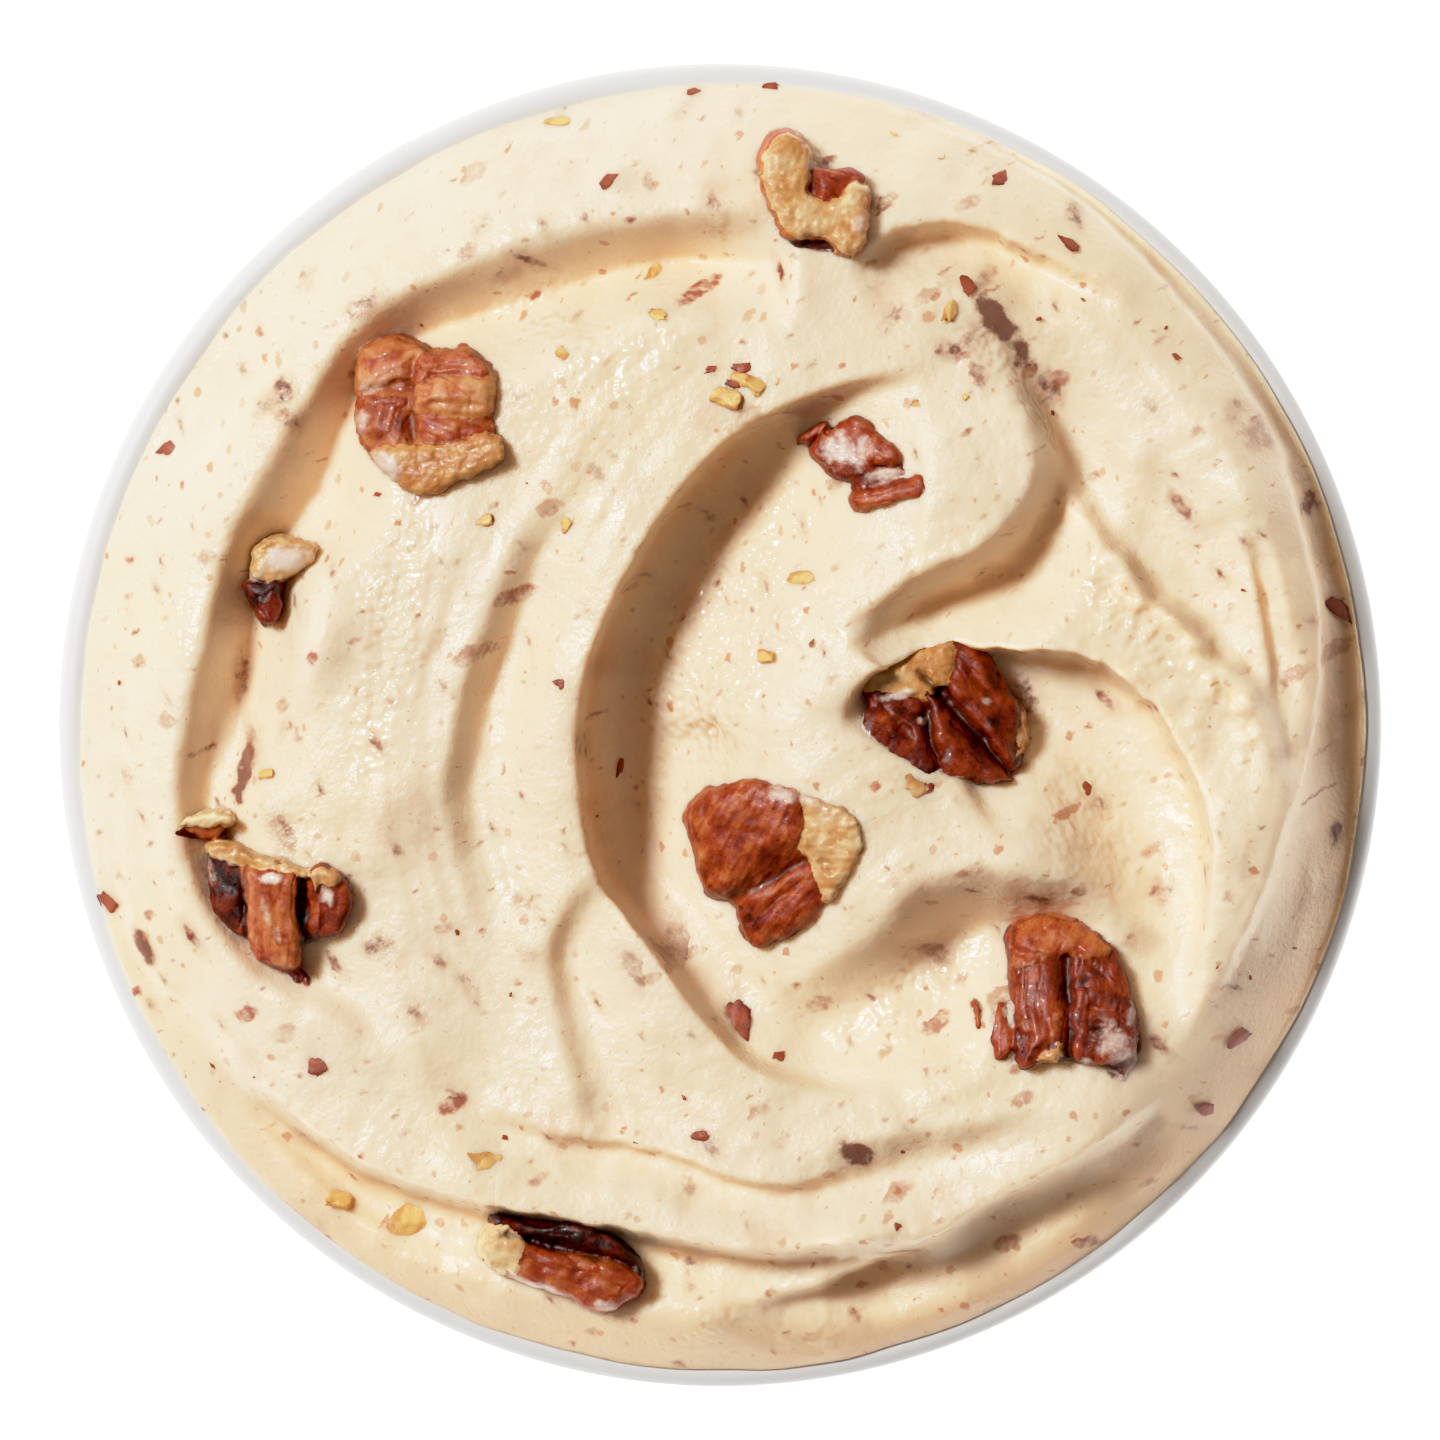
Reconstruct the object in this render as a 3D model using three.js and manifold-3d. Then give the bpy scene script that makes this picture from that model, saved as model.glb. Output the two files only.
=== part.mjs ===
import * as THREE from 'three';
import { mergeVertices } from 'three/addons/utils/BufferGeometryUtils.js';
import Module from 'manifold-3d';

// A round paper tub heaped with pecan ice cream. Millimetres, +Z up, standing on z = 0 with
// the tub's axis on the Z axis. Seen from above, +X is to the right and +Y is up.

const wasm = await Module();
wasm.setup();

// Tub: a rolled rim, a tapering paper wall and a bottom set up inside a folded foot
const TUB = {
	height: 62,
	rimRadius: 48,
	beadRadius: 1.25,
	wall: 0.6,
	footRadius: 37.8,
	footWidth: 1.6,
	recess: 6,
	sides: 60,
	beadSteps: 7
};

// Clear space between touching pieces
const GAP = 0.3;

// Ice cream: a low dome whose surface was drawn about with a spoon
const CREAM = {
	radius: 45.9,
	edgeDrop: 0.6,
	domeRise: 8.6,
	flatPower: 4.6,
	flatPowerExtra: 4,
	steepSide: - 35,
	lowSide: - 140,
	lowSideDrop: 1.6,
	rings: 31,
	blur: 0.6
};

// Spoon strokes. Each follows its crest line. On the hollow side the surface falls by depth
// over wall and climbs back by tail, a rounded lip stands along the crest, out wide on the
// outer side and inn wide on the hollow side, and the stroke fades in over start and out
// over end. side is 1 where the hollow lies to the left of the way that the line runs.
const STROKES = {
	collarWall: { side: 1, depth: 5, wall: 4.6, tail: 9.5, lip: 0.9, out: 5, inn: 1.8, start: 18, end: 20,
		path: [[ 6, 36.6 ], [ - 2, 37.6 ], [ - 14, 34.9 ], [ - 25.5, 30 ], [ - 31.3, 22 ], [ - 36.3, 13.5 ],
			[ - 38.7, 4 ], [ - 40, - 4.5 ], [ - 39, - 12 ], [ - 33.8, - 18.4 ], [ - 27.6, - 22.2 ], [ - 24.3, - 28 ]] },
	bigScoop: { side: 1, depth: 7.9, wall: 1.7, tail: 18, lip: 1.6, out: 5, inn: 0.7, start: 27, end: 46,
		path: [[ 20, 24.9 ], [ 14, 25.9 ], [ 6, 24.1 ], [ - 0.6, 20.6 ], [ - 6.2, 13.6 ], [ - 10.6, 4 ], [ - 11.1, - 3.2 ],
			[ - 9.9, - 10.4 ], [ - 6, - 16 ], [ - 2, - 21.2 ], [ 2.2, - 25.2 ], [ 9.5, - 27.1 ], [ 22, - 27.2 ]] },
	softValley: { side: 1, depth: 2.6, wall: 3, tail: 7.6, lip: 0.4, out: 3.5, inn: 2, start: 14, end: 14,
		path: [[ - 11, 20 ], [ - 15.4, 12.5 ], [ - 19, 3 ], [ - 20.6, - 6 ], [ - 19, - 14 ], [ - 17.5, - 18 ]] },
	lobeEdge: { side: 1, depth: 4.8, wall: 3.2, tail: 7.6, lip: 1.6, out: 7, inn: 1.8, start: 14, end: 12,
		path: [[ 13, 28.2 ], [ 19.6, 24.6 ], [ 22, 17.6 ], [ 18.6, 13.4 ], [ 13, 11.1 ], [ 8.4, 7 ], [ 7.4, 4 ]] },
	hood: { side: - 1, depth: 6, wall: 1.2, tail: 14, lip: 1, out: 3.4, inn: 0.5, start: 9, end: 30,
		path: [[ 7.6, - 1.6 ], [ 9.4, 3.6 ], [ 14, 5.9 ], [ 20, 6.7 ], [ 26, 6.2 ], [ 31, 3.5 ], [ 35, - 1.6 ],
			[ 36.3, - 7.6 ], [ 35, - 14 ], [ 33.8, - 22 ], [ 32.6, - 26 ]] },
	crumblyRidge: { side: 1, depth: 3.2, wall: 3, tail: 10, lip: 1.1, out: 1.8, inn: 1, start: 20, end: 12,
		path: [[ 13.5, 35 ], [ 18.8, 27.8 ], [ 23.8, 20 ], [ 27.2, 13.4 ], [ 31.6, 8.2 ], [ 36.6, 3.2 ], [ 39.8, - 3 ]] },
	rightCrest: { side: 1, depth: 0, wall: 1, tail: 2, lip: 1.7, out: 3.4, inn: 3.4, start: 18, end: 20,
		path: [[ 28, 29 ], [ 36, 20 ], [ 40.6, 8 ], [ 41.9, - 4 ], [ 39.2, - 14 ], [ 34.4, - 24 ], [ 31.5, - 29 ]] },
	topRightGroove: { side: - 1, depth: 2.6, wall: 2.8, tail: 7.5, lip: 0.5, out: 4, inn: 1.8, start: 8, end: 12,
		path: [[ 8, 33 ], [ 13, 36.7 ], [ 19, 36.4 ], [ 25, 33.6 ], [ 33, 30 ]] },
	overlapEdge: { side: 1, depth: 3.8, wall: 0.9, tail: 40, lip: 1, out: 4, inn: 0.4, start: 62, end: 32,
		path: [[ - 3, 46.6 ], [ 6, 45.9 ], [ 16, 43.3 ], [ 26.4, 38.4 ], [ 34, 30.7 ], [ 40.5, 21 ], [ 43.6, 9 ],
			[ 44.1, - 2 ], [ 41.6, - 12 ], [ 36.8, - 21.5 ], [ 30.5, - 30 ]] },
	rightGroove: { side: 1, depth: 1.5, wall: 1, tail: 2.6, lip: 0.2, out: 1.6, inn: 0.5, start: 9, end: 7,
		path: [[ 37.6, 16 ], [ 39.7, 7 ], [ 40.4, 1 ], [ 41, - 4 ], [ 40.6, - 7 ]] },
	lowerHollow: { side: - 1, depth: 4.6, wall: 4.2, tail: 12.5, lip: 1, out: 3.8, inn: 1.8, start: 18, end: 10,
		path: [[ - 1, - 20.6 ], [ 4, - 18.6 ], [ 10, - 15.3 ], [ 15, - 11.2 ], [ 22, - 10.4 ], [ 27.6, - 12.8 ], [ 30, - 20 ]] },
	lowRib: { side: - 1, depth: 3.6, wall: 2.2, tail: 7, lip: 1.5, out: 4.2, inn: 1.2, start: 22, end: 12,
		path: [[ - 40, - 20.5 ], [ - 33.2, - 25.4 ], [ - 26, - 30.6 ], [ - 18, - 33.5 ], [ - 8, - 35.4 ], [ 2, - 37 ],
			[ 9.4, - 36.5 ], [ 17, - 35 ]] },
	lowRightEdge: { side: - 1, depth: 5, wall: 1.7, tail: 11, lip: 0.9, out: 3, inn: 0.6, start: 10, end: 14,
		path: [[ 4.5, - 40.6 ], [ 11, - 37.9 ], [ 15.4, - 36.2 ], [ 20, - 33.4 ], [ 26, - 30.3 ], [ 34.5, - 24.5 ]] },
	leftFold: { side: 1, depth: 1.7, wall: 2, tail: 6.6, lip: 0.5, out: 3, inn: 1.2, start: 8, end: 6,
		path: [[ - 9.6, - 9 ], [ - 12.6, - 16 ], [ - 11.8, - 22 ], [ - 10.2, - 28.5 ], [ - 9, - 31.5 ]] },
	lowCrease: { side: - 1, depth: 1.6, wall: 1.7, tail: 5.2, lip: 0.6, out: 3.4, inn: 0.8, start: 14, end: 13,
		path: [[ - 20, - 25 ], [ - 13, - 28.6 ], [ - 4, - 30.2 ], [ 4, - 32.6 ], [ 16, - 30 ]] },
	lowStep: { side: - 1, depth: 1.7, wall: 3, tail: 8, lip: 0.4, out: 3, inn: 1.4, start: 11, end: 11,
		path: [[ 3, - 30.4 ], [ 12, - 29.4 ], [ 20, - 27.8 ], [ 28, - 26 ]] },
	outerLowFold: { side: - 1, depth: 1.2, wall: 1.6, tail: 6, lip: 0.5, out: 2.4, inn: 1, start: 11, end: 8,
		path: [[ - 43.4, - 7 ], [ - 41.3, - 17 ], [ - 35, - 23 ], [ - 32, - 26.4 ]] }
};
const STROKE_STEP = 1;

// Soft swellings and dents between the strokes: x, y, radius, height
const SWELLINGS = [
	[ - 28.6, 6.4, 3.4, 1.2 ], [ - 26, - 6, 5, 0.5 ], [ - 4.5, 31, 5, 0.5 ], [ 38.6, - 7, 4, 0.9 ],
	[ 8.5, 3.5, 6, 0.9 ], [ 8, - 6, 8, 1.6 ], [ - 15, - 3, 5, 0.5 ], [ 22, - 8, 5, 0.9 ], [ 13, 19, 6, 1.4 ],
	[ 32, - 17, 4, - 0.8 ], [ 30, - 36, 7, - 0.6 ], [ 20, - 35.5, 4, - 0.8 ], [ 0, - 41.3, 4, 0.9 ],
	[ 7, - 40, 4, 0.9 ], [ - 24, 22, 6, - 0.6 ], [ 29, 20, 6, - 0.5 ], [ 3, 15, 6, - 0.4 ]
];

// Pecan pieces. Each stands at x, y with its middle rise above the ice cream there. core is the
// length, width, height and turn in degrees of the body under its grooves. The lobes that stand
// out of it are x, y, z of the lobe's middle, length, width, height and turn. flat is the height
// of a broken face that looks up.
const PECANS = {
	pecan_upper_left: { x: - 21, y: 22.3, rise: 0.1, core: [ 8.6, 8.6, 4, 0 ], lobes: [
		[ - 2.9, 1, 0.1, 8.6, 4.8, 5.6, 80 ], [ 1.9, 1.1, 0, 6.8, 6.8, 5.6, - 15 ],
		[ 0.8, - 3.1, - 0.7, 9, 5.2, 4, - 5 ], [ - 1.8, 3.3, 0, 5.2, 4.2, 4.6, 20 ]] },
	pecan_top: { x: 7, y: 38, rise: 0.4, core: [ 5, 3, 5, - 45 ], flat: 1.5, lobes: [
		[ - 2.2, 2.2, 0, 6, 3.7, 6, 105 ], [ 1.9, - 1.8, 0, 5.8, 3.8, 6, - 40 ],
		[ 2.6, 0, - 0.4, 4.2, 3, 5.6, 100 ]] },
	pecan_centre: { x: 4.2, y: - 10, rise: 0.4, core: [ 9, 8, 4, 40 ], lobes: [
		[ - 2.3, 1.8, 0.2, 9.4, 7.2, 6.8, 35 ], [ 0.2, - 3.1, - 0.2, 8.2, 3.8, 5.4, 37 ],
		[ 3.2, 1.4, - 0.4, 7.6, 5, 5, 75 ]] },
	pecan_under_hood: { x: 16, y: 0.8, rise: 0.3, core: [ 9, 8, 3.4, - 40 ], lobes: [
		[ - 2.8, 2.9, - 0.4, 7.8, 2.8, 3.6, 25 ], [ 2.5, 1.7, 0.3, 8.6, 4.4, 5.4, - 45 ],
		[ 1.6, - 2.3, 0, 7.4, 3.4, 5, - 42 ], [ - 2.9, - 2.2, 0, 7.6, 3.8, 5, - 52 ],
		[ 4.8, - 1.6, - 0.5, 4.6, 2.2, 4, 80 ]] },
	pecan_lower_right: { x: 24.7, y: - 19.6, rise: - 0.4, core: [ 8.6, 6.4, 4, 95 ], lobes: [
		[ - 1.9, - 0.2, 0.5, 9.8, 3.5, 6.4, 92 ], [ - 0.2, 3.3, 0.2, 6.2, 4, 5.6, - 15 ],
		[ 2.3, - 0.2, 0.2, 8.6, 3.6, 5.8, - 68 ], [ 3.2, - 3.4, - 0.8, 4.6, 3.4, 4, - 60 ],
		[ - 4, - 2.2, - 0.6, 4.4, 1.8, 3.8, 76 ]] },
	pecan_left: { x: - 31.8, y: - 12.6, rise: 0.2, core: [ 8.4, 5, 3, 0 ], lobes: [
		[ - 1.4, 2.7, - 0.2, 7.6, 2.2, 4.6, - 14 ], [ - 3.6, 0.2, - 0.8, 5.8, 2.6, 4.6, 105 ],
		[ - 0.5, - 1.2, 0.6, 7.6, 3.3, 5.6, 100 ], [ 3.9, - 0.3, - 0.4, 4.8, 3, 4.4, 95 ]] },
	pecan_bottom: { x: - 11, y: - 38.7, rise: 0.1, core: [ 10, 3.4, 3, - 16 ], lobes: [
		[ 0.1, - 0.7, 0, 11.4, 3, 4.4, - 17 ], [ 0.3, 1.1, 0, 10.4, 2.4, 4.4, - 14 ],
		[ - 4.4, 1, 0.1, 3.2, 3, 3.8, - 60 ]] },
	pecan_left_small: { x: - 32, y: 10.6, rise: 0.2, core: [ 4.6, 2.4, 2.4, 70 ], lobes: [
		[ 0.3, 1.4, 0, 4.4, 3.3, 3.2, 10 ], [ - 0.9, - 1.3, - 0.1, 4, 2.3, 3, - 65 ]] },
	pecan_on_lobe: { x: 10.5, y: 18.8, rise: 0.2, core: [ 5, 3.6, 2.2, - 40 ], lobes: [
		[ - 1.2, 0.9, 0.1, 6.8, 4.6, 3.2, - 25 ], [ 1.2, 1, 0, 3.4, 2.6, 2.8, - 50 ],
		[ 1.5, - 2.2, 0, 5.6, 2.4, 2.8, 12 ]] }
};
const PECAN_DETAIL = 3;
const SMALL_PECAN_DETAIL = 2;
const SMALL_PECAN = 6;

// Largest crumbs of nut flesh and skin on the ice cream: x, y, length, width, turn in degrees
const CRUMBS = [
	[ 1, 23.5, 2.2, 1.5, 20 ], [ 3.4, 25, 2.6, 1.8, - 30 ], [ - 16.2, - 31.9, 2.9, 2.4, 10 ],
	[ - 22.4, - 36.1, 3.2, 2.6, 60 ], [ - 27.4, - 34.3, 2.2, 1.6, 20 ], [ - 11.4, 43.7, 2.6, 1.1, 5 ],
	[ - 10.9, 27.4, 2, 1.3, 40 ], [ - 4.5, 33, 1.8, 1.2, 70 ], [ 5.8, 10.5, 1.9, 1.2, 15 ], [ - 17, 14.7, 1.9, 1.3, 50 ],
	[ - 32, 23.2, 3.5, 2.4, - 40 ], [ - 21.9, 1.6, 1.9, 1.2, 0 ], [ 16.7, 30, 1.9, 1.2, 80 ],
	[ - 9.3, - 9, 2, 1.3, 70 ], [ 1.2, - 21.8, 3.5, 2.2, 80 ], [ - 4, - 14.7, 2, 1.2, 30 ], [ - 1.2, - 29.6, 1.9, 1.2, 0 ],
	[ 26.5, - 4.5, 2, 1.3, 60 ], [ - 29.5, - 24.3, 2.4, 1.6, - 30 ], [ 9.8, - 30.8, 3, 1.8, 10 ],
	[ 19.5, 29.4, 3.2, 1.8, - 55 ], [ 22, 27.5, 2.8, 1.8, - 50 ], [ 23.8, 24.5, 2.6, 1.6, - 60 ], [ 31.8, - 12, 2, 1.4, 20 ],
	[ - 41.5, - 16.5, 2.4, 1.5, 60 ], [ 37.5, - 22.6, 2.2, 1.4, 40 ], [ - 24.5, - 16, 2.2, 1.5, 0 ], [ 37, 22.7, 2, 1.3, - 50 ]
];
const CRUMB_HEIGHT = 1.1;
const CRUMB_RISE = 0.15;

const UP = new THREE.Vector3( 0, 0, 1 );

const MATERIALS = {
	paper: { color: 0xf2f2ee, roughness: 0.62 },
	cream: { color: 0xf3ead8, roughness: 0.42 },
	pecan: { color: 0x8a4422, roughness: 0.5 }
};

function smooth( from, to, value ) {

	const t = THREE.MathUtils.clamp( ( value - from ) / ( to - from ), 0, 1 );
	return t * t * ( 3 - 2 * t );

}

// Evenly spaced points of a stroke's crest line, each with its strength
function crestLine( stroke ) {

	const curve = new THREE.CatmullRomCurve3( stroke.path.map( ( [ x, y ] ) => new THREE.Vector3( x, y, 0 ) ) );
	const length = curve.getLength();
	const steps = Math.ceil( length / STROKE_STEP );
	return curve.getSpacedPoints( steps ).map( ( point, i ) => {

		const along = length * i / steps;
		const strength = smooth( 0, stroke.start, along ) * smooth( 0, stroke.end, length - along );
		return { x: point.x, y: point.y, strength };

	} );

}

// Signed distance from a crest line, left of its way being positive, and the strength there
function nearCrest( x, y, line ) {

	let distance = Infinity;
	let side = 1;
	let strength = 0;
	for ( let i = 1; i < line.length; i ++ ) {

		const a = line[ i - 1 ];
		const b = line[ i ];
		const ux = b.x - a.x;
		const uy = b.y - a.y;
		const t = THREE.MathUtils.clamp( ( ( x - a.x ) * ux + ( y - a.y ) * uy ) / ( ux * ux + uy * uy ), 0, 1 );
		const away = Math.hypot( x - a.x - t * ux, y - a.y - t * uy );
		if ( away < distance ) {

			distance = away;
			side = Math.sign( ux * ( y - a.y ) - uy * ( x - a.x ) );
			strength = a.strength + ( b.strength - a.strength ) * t;

		}

	}

	return { distance: distance * side, strength };

}

const CRESTS = Object.values( STROKES ).map( ( stroke ) => ( { stroke, line: crestLine( stroke ) } ) );

// How far a stroke lifts or lowers the surface at a signed distance from its crest
function strokeHeight( stroke, distance ) {

	const away = Math.abs( distance );
	const lip = stroke.lip * Math.exp( - ( ( away / ( distance < 0 ? stroke.out : stroke.inn ) ) ** 1.6 ) );
	if ( distance <= 0 ) return lip;
	const fall = 0.72 * smooth( 0, stroke.wall, away ) + 0.28 * smooth( 0.3 * stroke.wall, 3 * stroke.wall, away );
	return lip - stroke.depth * fall * ( 1 - smooth( 0.9 * stroke.wall, stroke.tail, away ) );

}

function creamHeight( x, y ) {

	const way = Math.atan2( y, x );
	const towards = ( degrees ) => 0.5 + 0.5 * Math.cos( way - THREE.MathUtils.degToRad( degrees ) );
	const power = CREAM.flatPower + CREAM.flatPowerExtra * towards( CREAM.steepSide );
	const rise = CREAM.domeRise - CREAM.lowSideDrop * towards( CREAM.lowSide ) ** 3;
	const out = Math.min( Math.hypot( x, y ) / CREAM.radius, 1 );
	let z = TUB.height - CREAM.edgeDrop + rise * ( 1 - out ** power );
	for ( const { stroke, line } of CRESTS ) {

		const near = nearCrest( x, y, line );
		z += near.strength * strokeHeight( stroke, near.distance * stroke.side );

	}

	for ( const [ sx, sy, radius, height ] of SWELLINGS ) {

		z += height * Math.exp( - ( ( x - sx ) ** 2 + ( y - sy ) ** 2 ) / radius ** 2 );

	}

	return z;

}

// Mean height close round a place, because the triangles are too large for the sharpest edges
function meanHeight( x, y ) {

	const turns = [ 0, 1, 2, 3, 4, 5 ].map( ( i ) => i * Math.PI / 3 );
	const around = turns.map( ( turn ) => creamHeight( x + CREAM.blur * Math.cos( turn ), y + CREAM.blur * Math.sin( turn ) ) );
	return ( creamHeight( x, y ) + around.reduce( ( sum, z ) => sum + z ) ) / ( turns.length + 1 );

}

// Inner radius of the paper wall at a height
function wallRadius( z ) {

	const top = TUB.height - TUB.beadRadius;
	const t = Math.min( z / top, 1 );
	return THREE.MathUtils.lerp( TUB.footRadius - TUB.wall, TUB.rimRadius - 2 * TUB.beadRadius, t );

}

function tubGeometry() {

	const beadMiddle = new THREE.Vector2( TUB.rimRadius - TUB.beadRadius, TUB.height - TUB.beadRadius );
	const neck = Math.acos( ( wallRadius( beadMiddle.y ) + TUB.wall - beadMiddle.x ) / TUB.beadRadius );
	const foot = TUB.footRadius - TUB.footWidth;
	const profile = [
		new THREE.Vector2( 0, TUB.recess ),
		new THREE.Vector2( foot, TUB.recess ),
		new THREE.Vector2( foot, 0 ),
		new THREE.Vector2( TUB.footRadius, 0 )
	];
	for ( let i = 0; i <= TUB.beadSteps; i ++ ) {

		const angle = THREE.MathUtils.lerp( - neck, Math.PI, i / TUB.beadSteps );
		profile.push( new THREE.Vector2( Math.cos( angle ), Math.sin( angle ) ).multiplyScalar( TUB.beadRadius ).add( beadMiddle ) );

	}

	const floor = TUB.recess + TUB.wall;
	profile.push( new THREE.Vector2( wallRadius( floor ), floor ), new THREE.Vector2( 0, floor ) );
	return new THREE.LatheGeometry( profile, TUB.sides ).rotateX( Math.PI / 2 );

}

// Rings of six points more each, so that the triangles are of one size from middle to edge
function creamGeometry() {

	const floor = TUB.recess + TUB.wall + GAP;
	const points = [ 0, 0, meanHeight( 0, 0 ) ];
	const faces = [];
	const first = ( ring ) => ring === 0 ? 0 : 1 + 3 * ring * ( ring - 1 );
	for ( let ring = 1; ring <= CREAM.rings; ring ++ ) {

		for ( let i = 0; i < 6 * ring; i ++ ) {

			const angle = Math.PI * 2 * i / ( 6 * ring );
			let radius = ( wallRadius( TUB.height ) - GAP ) * ring / CREAM.rings;
			const z = meanHeight( radius * Math.cos( angle ), radius * Math.sin( angle ) );
			if ( ring === CREAM.rings ) radius = wallRadius( z ) - GAP;
			points.push( radius * Math.cos( angle ), radius * Math.sin( angle ), z );

		}

		for ( let sector = 0; sector < 6; sector ++ ) {

			for ( let i = 0; i < ring; i ++ ) {

				const outer = ( step ) => first( ring ) + ( sector * ring + i + step ) % ( 6 * ring );
				const inner = ( step ) => ring === 1 ? 0 : first( ring - 1 ) + ( sector * ( ring - 1 ) + i + step ) % ( 6 * ( ring - 1 ) );
				faces.push( inner( 0 ), outer( 0 ), outer( 1 ) );
				if ( i < ring - 1 ) faces.push( inner( 0 ), outer( 1 ), inner( 1 ) );

			}

		}

	}

	const edge = 6 * CREAM.rings;
	const top = first( CREAM.rings );
	const bottom = points.length / 3;
	const middle = bottom + edge;
	for ( let i = 0; i < edge; i ++ ) {

		const angle = Math.PI * 2 * i / edge;
		const radius = wallRadius( floor ) - GAP;
		points.push( radius * Math.cos( angle ), radius * Math.sin( angle ), floor );
		const next = ( i + 1 ) % edge;
		faces.push( top + i, bottom + i, bottom + next, top + i, bottom + next, top + next );
		faces.push( middle, bottom + next, bottom + i );

	}

	points.push( 0, 0, floor );
	const geometry = new THREE.BufferGeometry();
	geometry.setAttribute( 'position', new THREE.Float32BufferAttribute( points, 3 ) );
	geometry.setIndex( faces );
	return geometry;

}

function toSolid( geometry ) {

	geometry.deleteAttribute( 'normal' );
	geometry.deleteAttribute( 'uv' );
	const merged = mergeVertices( geometry );
	return new wasm.Manifold( new wasm.Mesh( {
		numProp: 3,
		vertProperties: new Float32Array( merged.attributes.position.array ),
		triVerts: new Uint32Array( merged.index.array )
	} ) );

}

function toGeometry( solid ) {

	const mesh = solid.getMesh();
	const geometry = new THREE.BufferGeometry();
	geometry.setAttribute( 'position', new THREE.BufferAttribute( mesh.vertProperties, 3 ) );
	geometry.setIndex( new THREE.BufferAttribute( mesh.triVerts, 1 ) );
	geometry.computeVertexNormals();
	return geometry;

}

function joined( solids ) {

	return solids.reduce( ( whole, solid ) => whole.add( solid ) );

}

// A rounded lump of the given length, width and height, turned about the vertical
function lump( x, y, z, length, width, height, turn ) {

	return toSolid( new THREE.IcosahedronGeometry( 1, 0 )
		.scale( length / 2, width / 2, height / 2 )
		.rotateZ( THREE.MathUtils.degToRad( turn ) )
		.translate( x, y, z ) );

}

// How far along a ray from the origin a lobe's far side lies, or 0 where the ray misses it
function farSide( direction, [ x, y, z, length, width, height, turn ], grow ) {

	const half = new THREE.Vector3( length, width, height ).multiplyScalar( 0.5 ).addScalar( grow );
	const turned = ( vector ) => vector.applyAxisAngle( UP, - THREE.MathUtils.degToRad( turn ) ).divide( half );
	const ray = turned( direction.clone() );
	const middle = turned( new THREE.Vector3( x, y, z ) );
	const a = ray.lengthSq();
	const b = ray.dot( middle );
	const root = b * b - a * ( middle.lengthSq() - 1 );
	return root < 0 ? 0 : ( b + Math.sqrt( root ) ) / a;

}

// A pecan piece, or with grow the pocket that it sits in
function pecanSolid( { x, y, rise, core, lobes, flat = Infinity }, grow ) {

	const [ length, width, height, turn ] = core;
	const bodies = [[ 0, 0, 0, ...core ], ...lobes ];
	const detail = length > SMALL_PECAN ? PECAN_DETAIL : SMALL_PECAN_DETAIL;
	const geometry = new THREE.IcosahedronGeometry( 1, detail ).scale( length, width, height );
	geometry.rotateZ( THREE.MathUtils.degToRad( turn ) );
	const position = geometry.attributes.position;
	const direction = new THREE.Vector3();
	for ( let i = 0; i < position.count; i ++ ) {

		direction.fromBufferAttribute( position, i ).normalize();
		let reach = Math.max( ...bodies.map( ( body ) => farSide( direction, body, grow ) ) );
		if ( direction.z > 0 ) reach = Math.min( reach, ( flat + grow ) / direction.z );
		position.setXYZ( i, ...direction.multiplyScalar( reach ).toArray() );

	}

	return toSolid( geometry.translate( x, y, creamHeight( x, y ) + rise ) );

}

function creamSolid() {

	const crumbs = CRUMBS.map( ( [ x, y, length, width, turn ] ) =>
		lump( x, y, creamHeight( x, y ) + CRUMB_RISE, length, width, CRUMB_HEIGHT, turn ) );
	const pockets = Object.values( PECANS ).map( ( pecan ) => pecanSolid( pecan, GAP ) );
	const cream = joined( [ toSolid( creamGeometry() ), ...crumbs ] ).subtract( joined( pockets ) );
	return cream.decompose().reduce( ( largest, body ) => body.volume() > largest.volume() ? body : largest );

}

function addPiece( group, name, geometry, material ) {

	const mesh = new THREE.Mesh( geometry, new THREE.MeshStandardMaterial( { ...MATERIALS[ material ], metalness: 0 } ) );
	mesh.name = name;
	group.add( mesh );

}

const group = new THREE.Group();
addPiece( group, 'paper_tub', toGeometry( toSolid( tubGeometry() ) ), 'paper' );
addPiece( group, 'ice_cream', toGeometry( creamSolid() ), 'cream' );
for ( const [ name, pecan ] of Object.entries( PECANS ) ) {

	addPiece( group, name, toGeometry( pecanSolid( pecan, 0 ) ), 'pecan' );

}

export default group;
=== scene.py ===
"""Looks of a paper tub heaped with pecan ice cream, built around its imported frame."""

import math
from collections import namedtuple
from contextlib import contextmanager

import bpy
import numpy as np
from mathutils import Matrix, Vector


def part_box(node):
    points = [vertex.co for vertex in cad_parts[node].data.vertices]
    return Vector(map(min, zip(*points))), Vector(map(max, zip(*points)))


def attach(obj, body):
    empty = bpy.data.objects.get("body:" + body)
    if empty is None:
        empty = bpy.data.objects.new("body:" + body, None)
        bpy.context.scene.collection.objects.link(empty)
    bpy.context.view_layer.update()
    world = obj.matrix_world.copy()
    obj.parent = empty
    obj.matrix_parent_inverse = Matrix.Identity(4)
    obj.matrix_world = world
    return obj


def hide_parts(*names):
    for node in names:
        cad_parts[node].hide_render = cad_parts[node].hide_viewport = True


bl_info = {
    "name": "Pecan ice cream tub",
    "version": (1, 0, 0),
    "blender": (4, 5, 0),
    "location": "3D View > Sidebar > Ice cream",
    "description": "Builds a paper tub heaped with pecan ice cream",
    "category": "Object",
}

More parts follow.
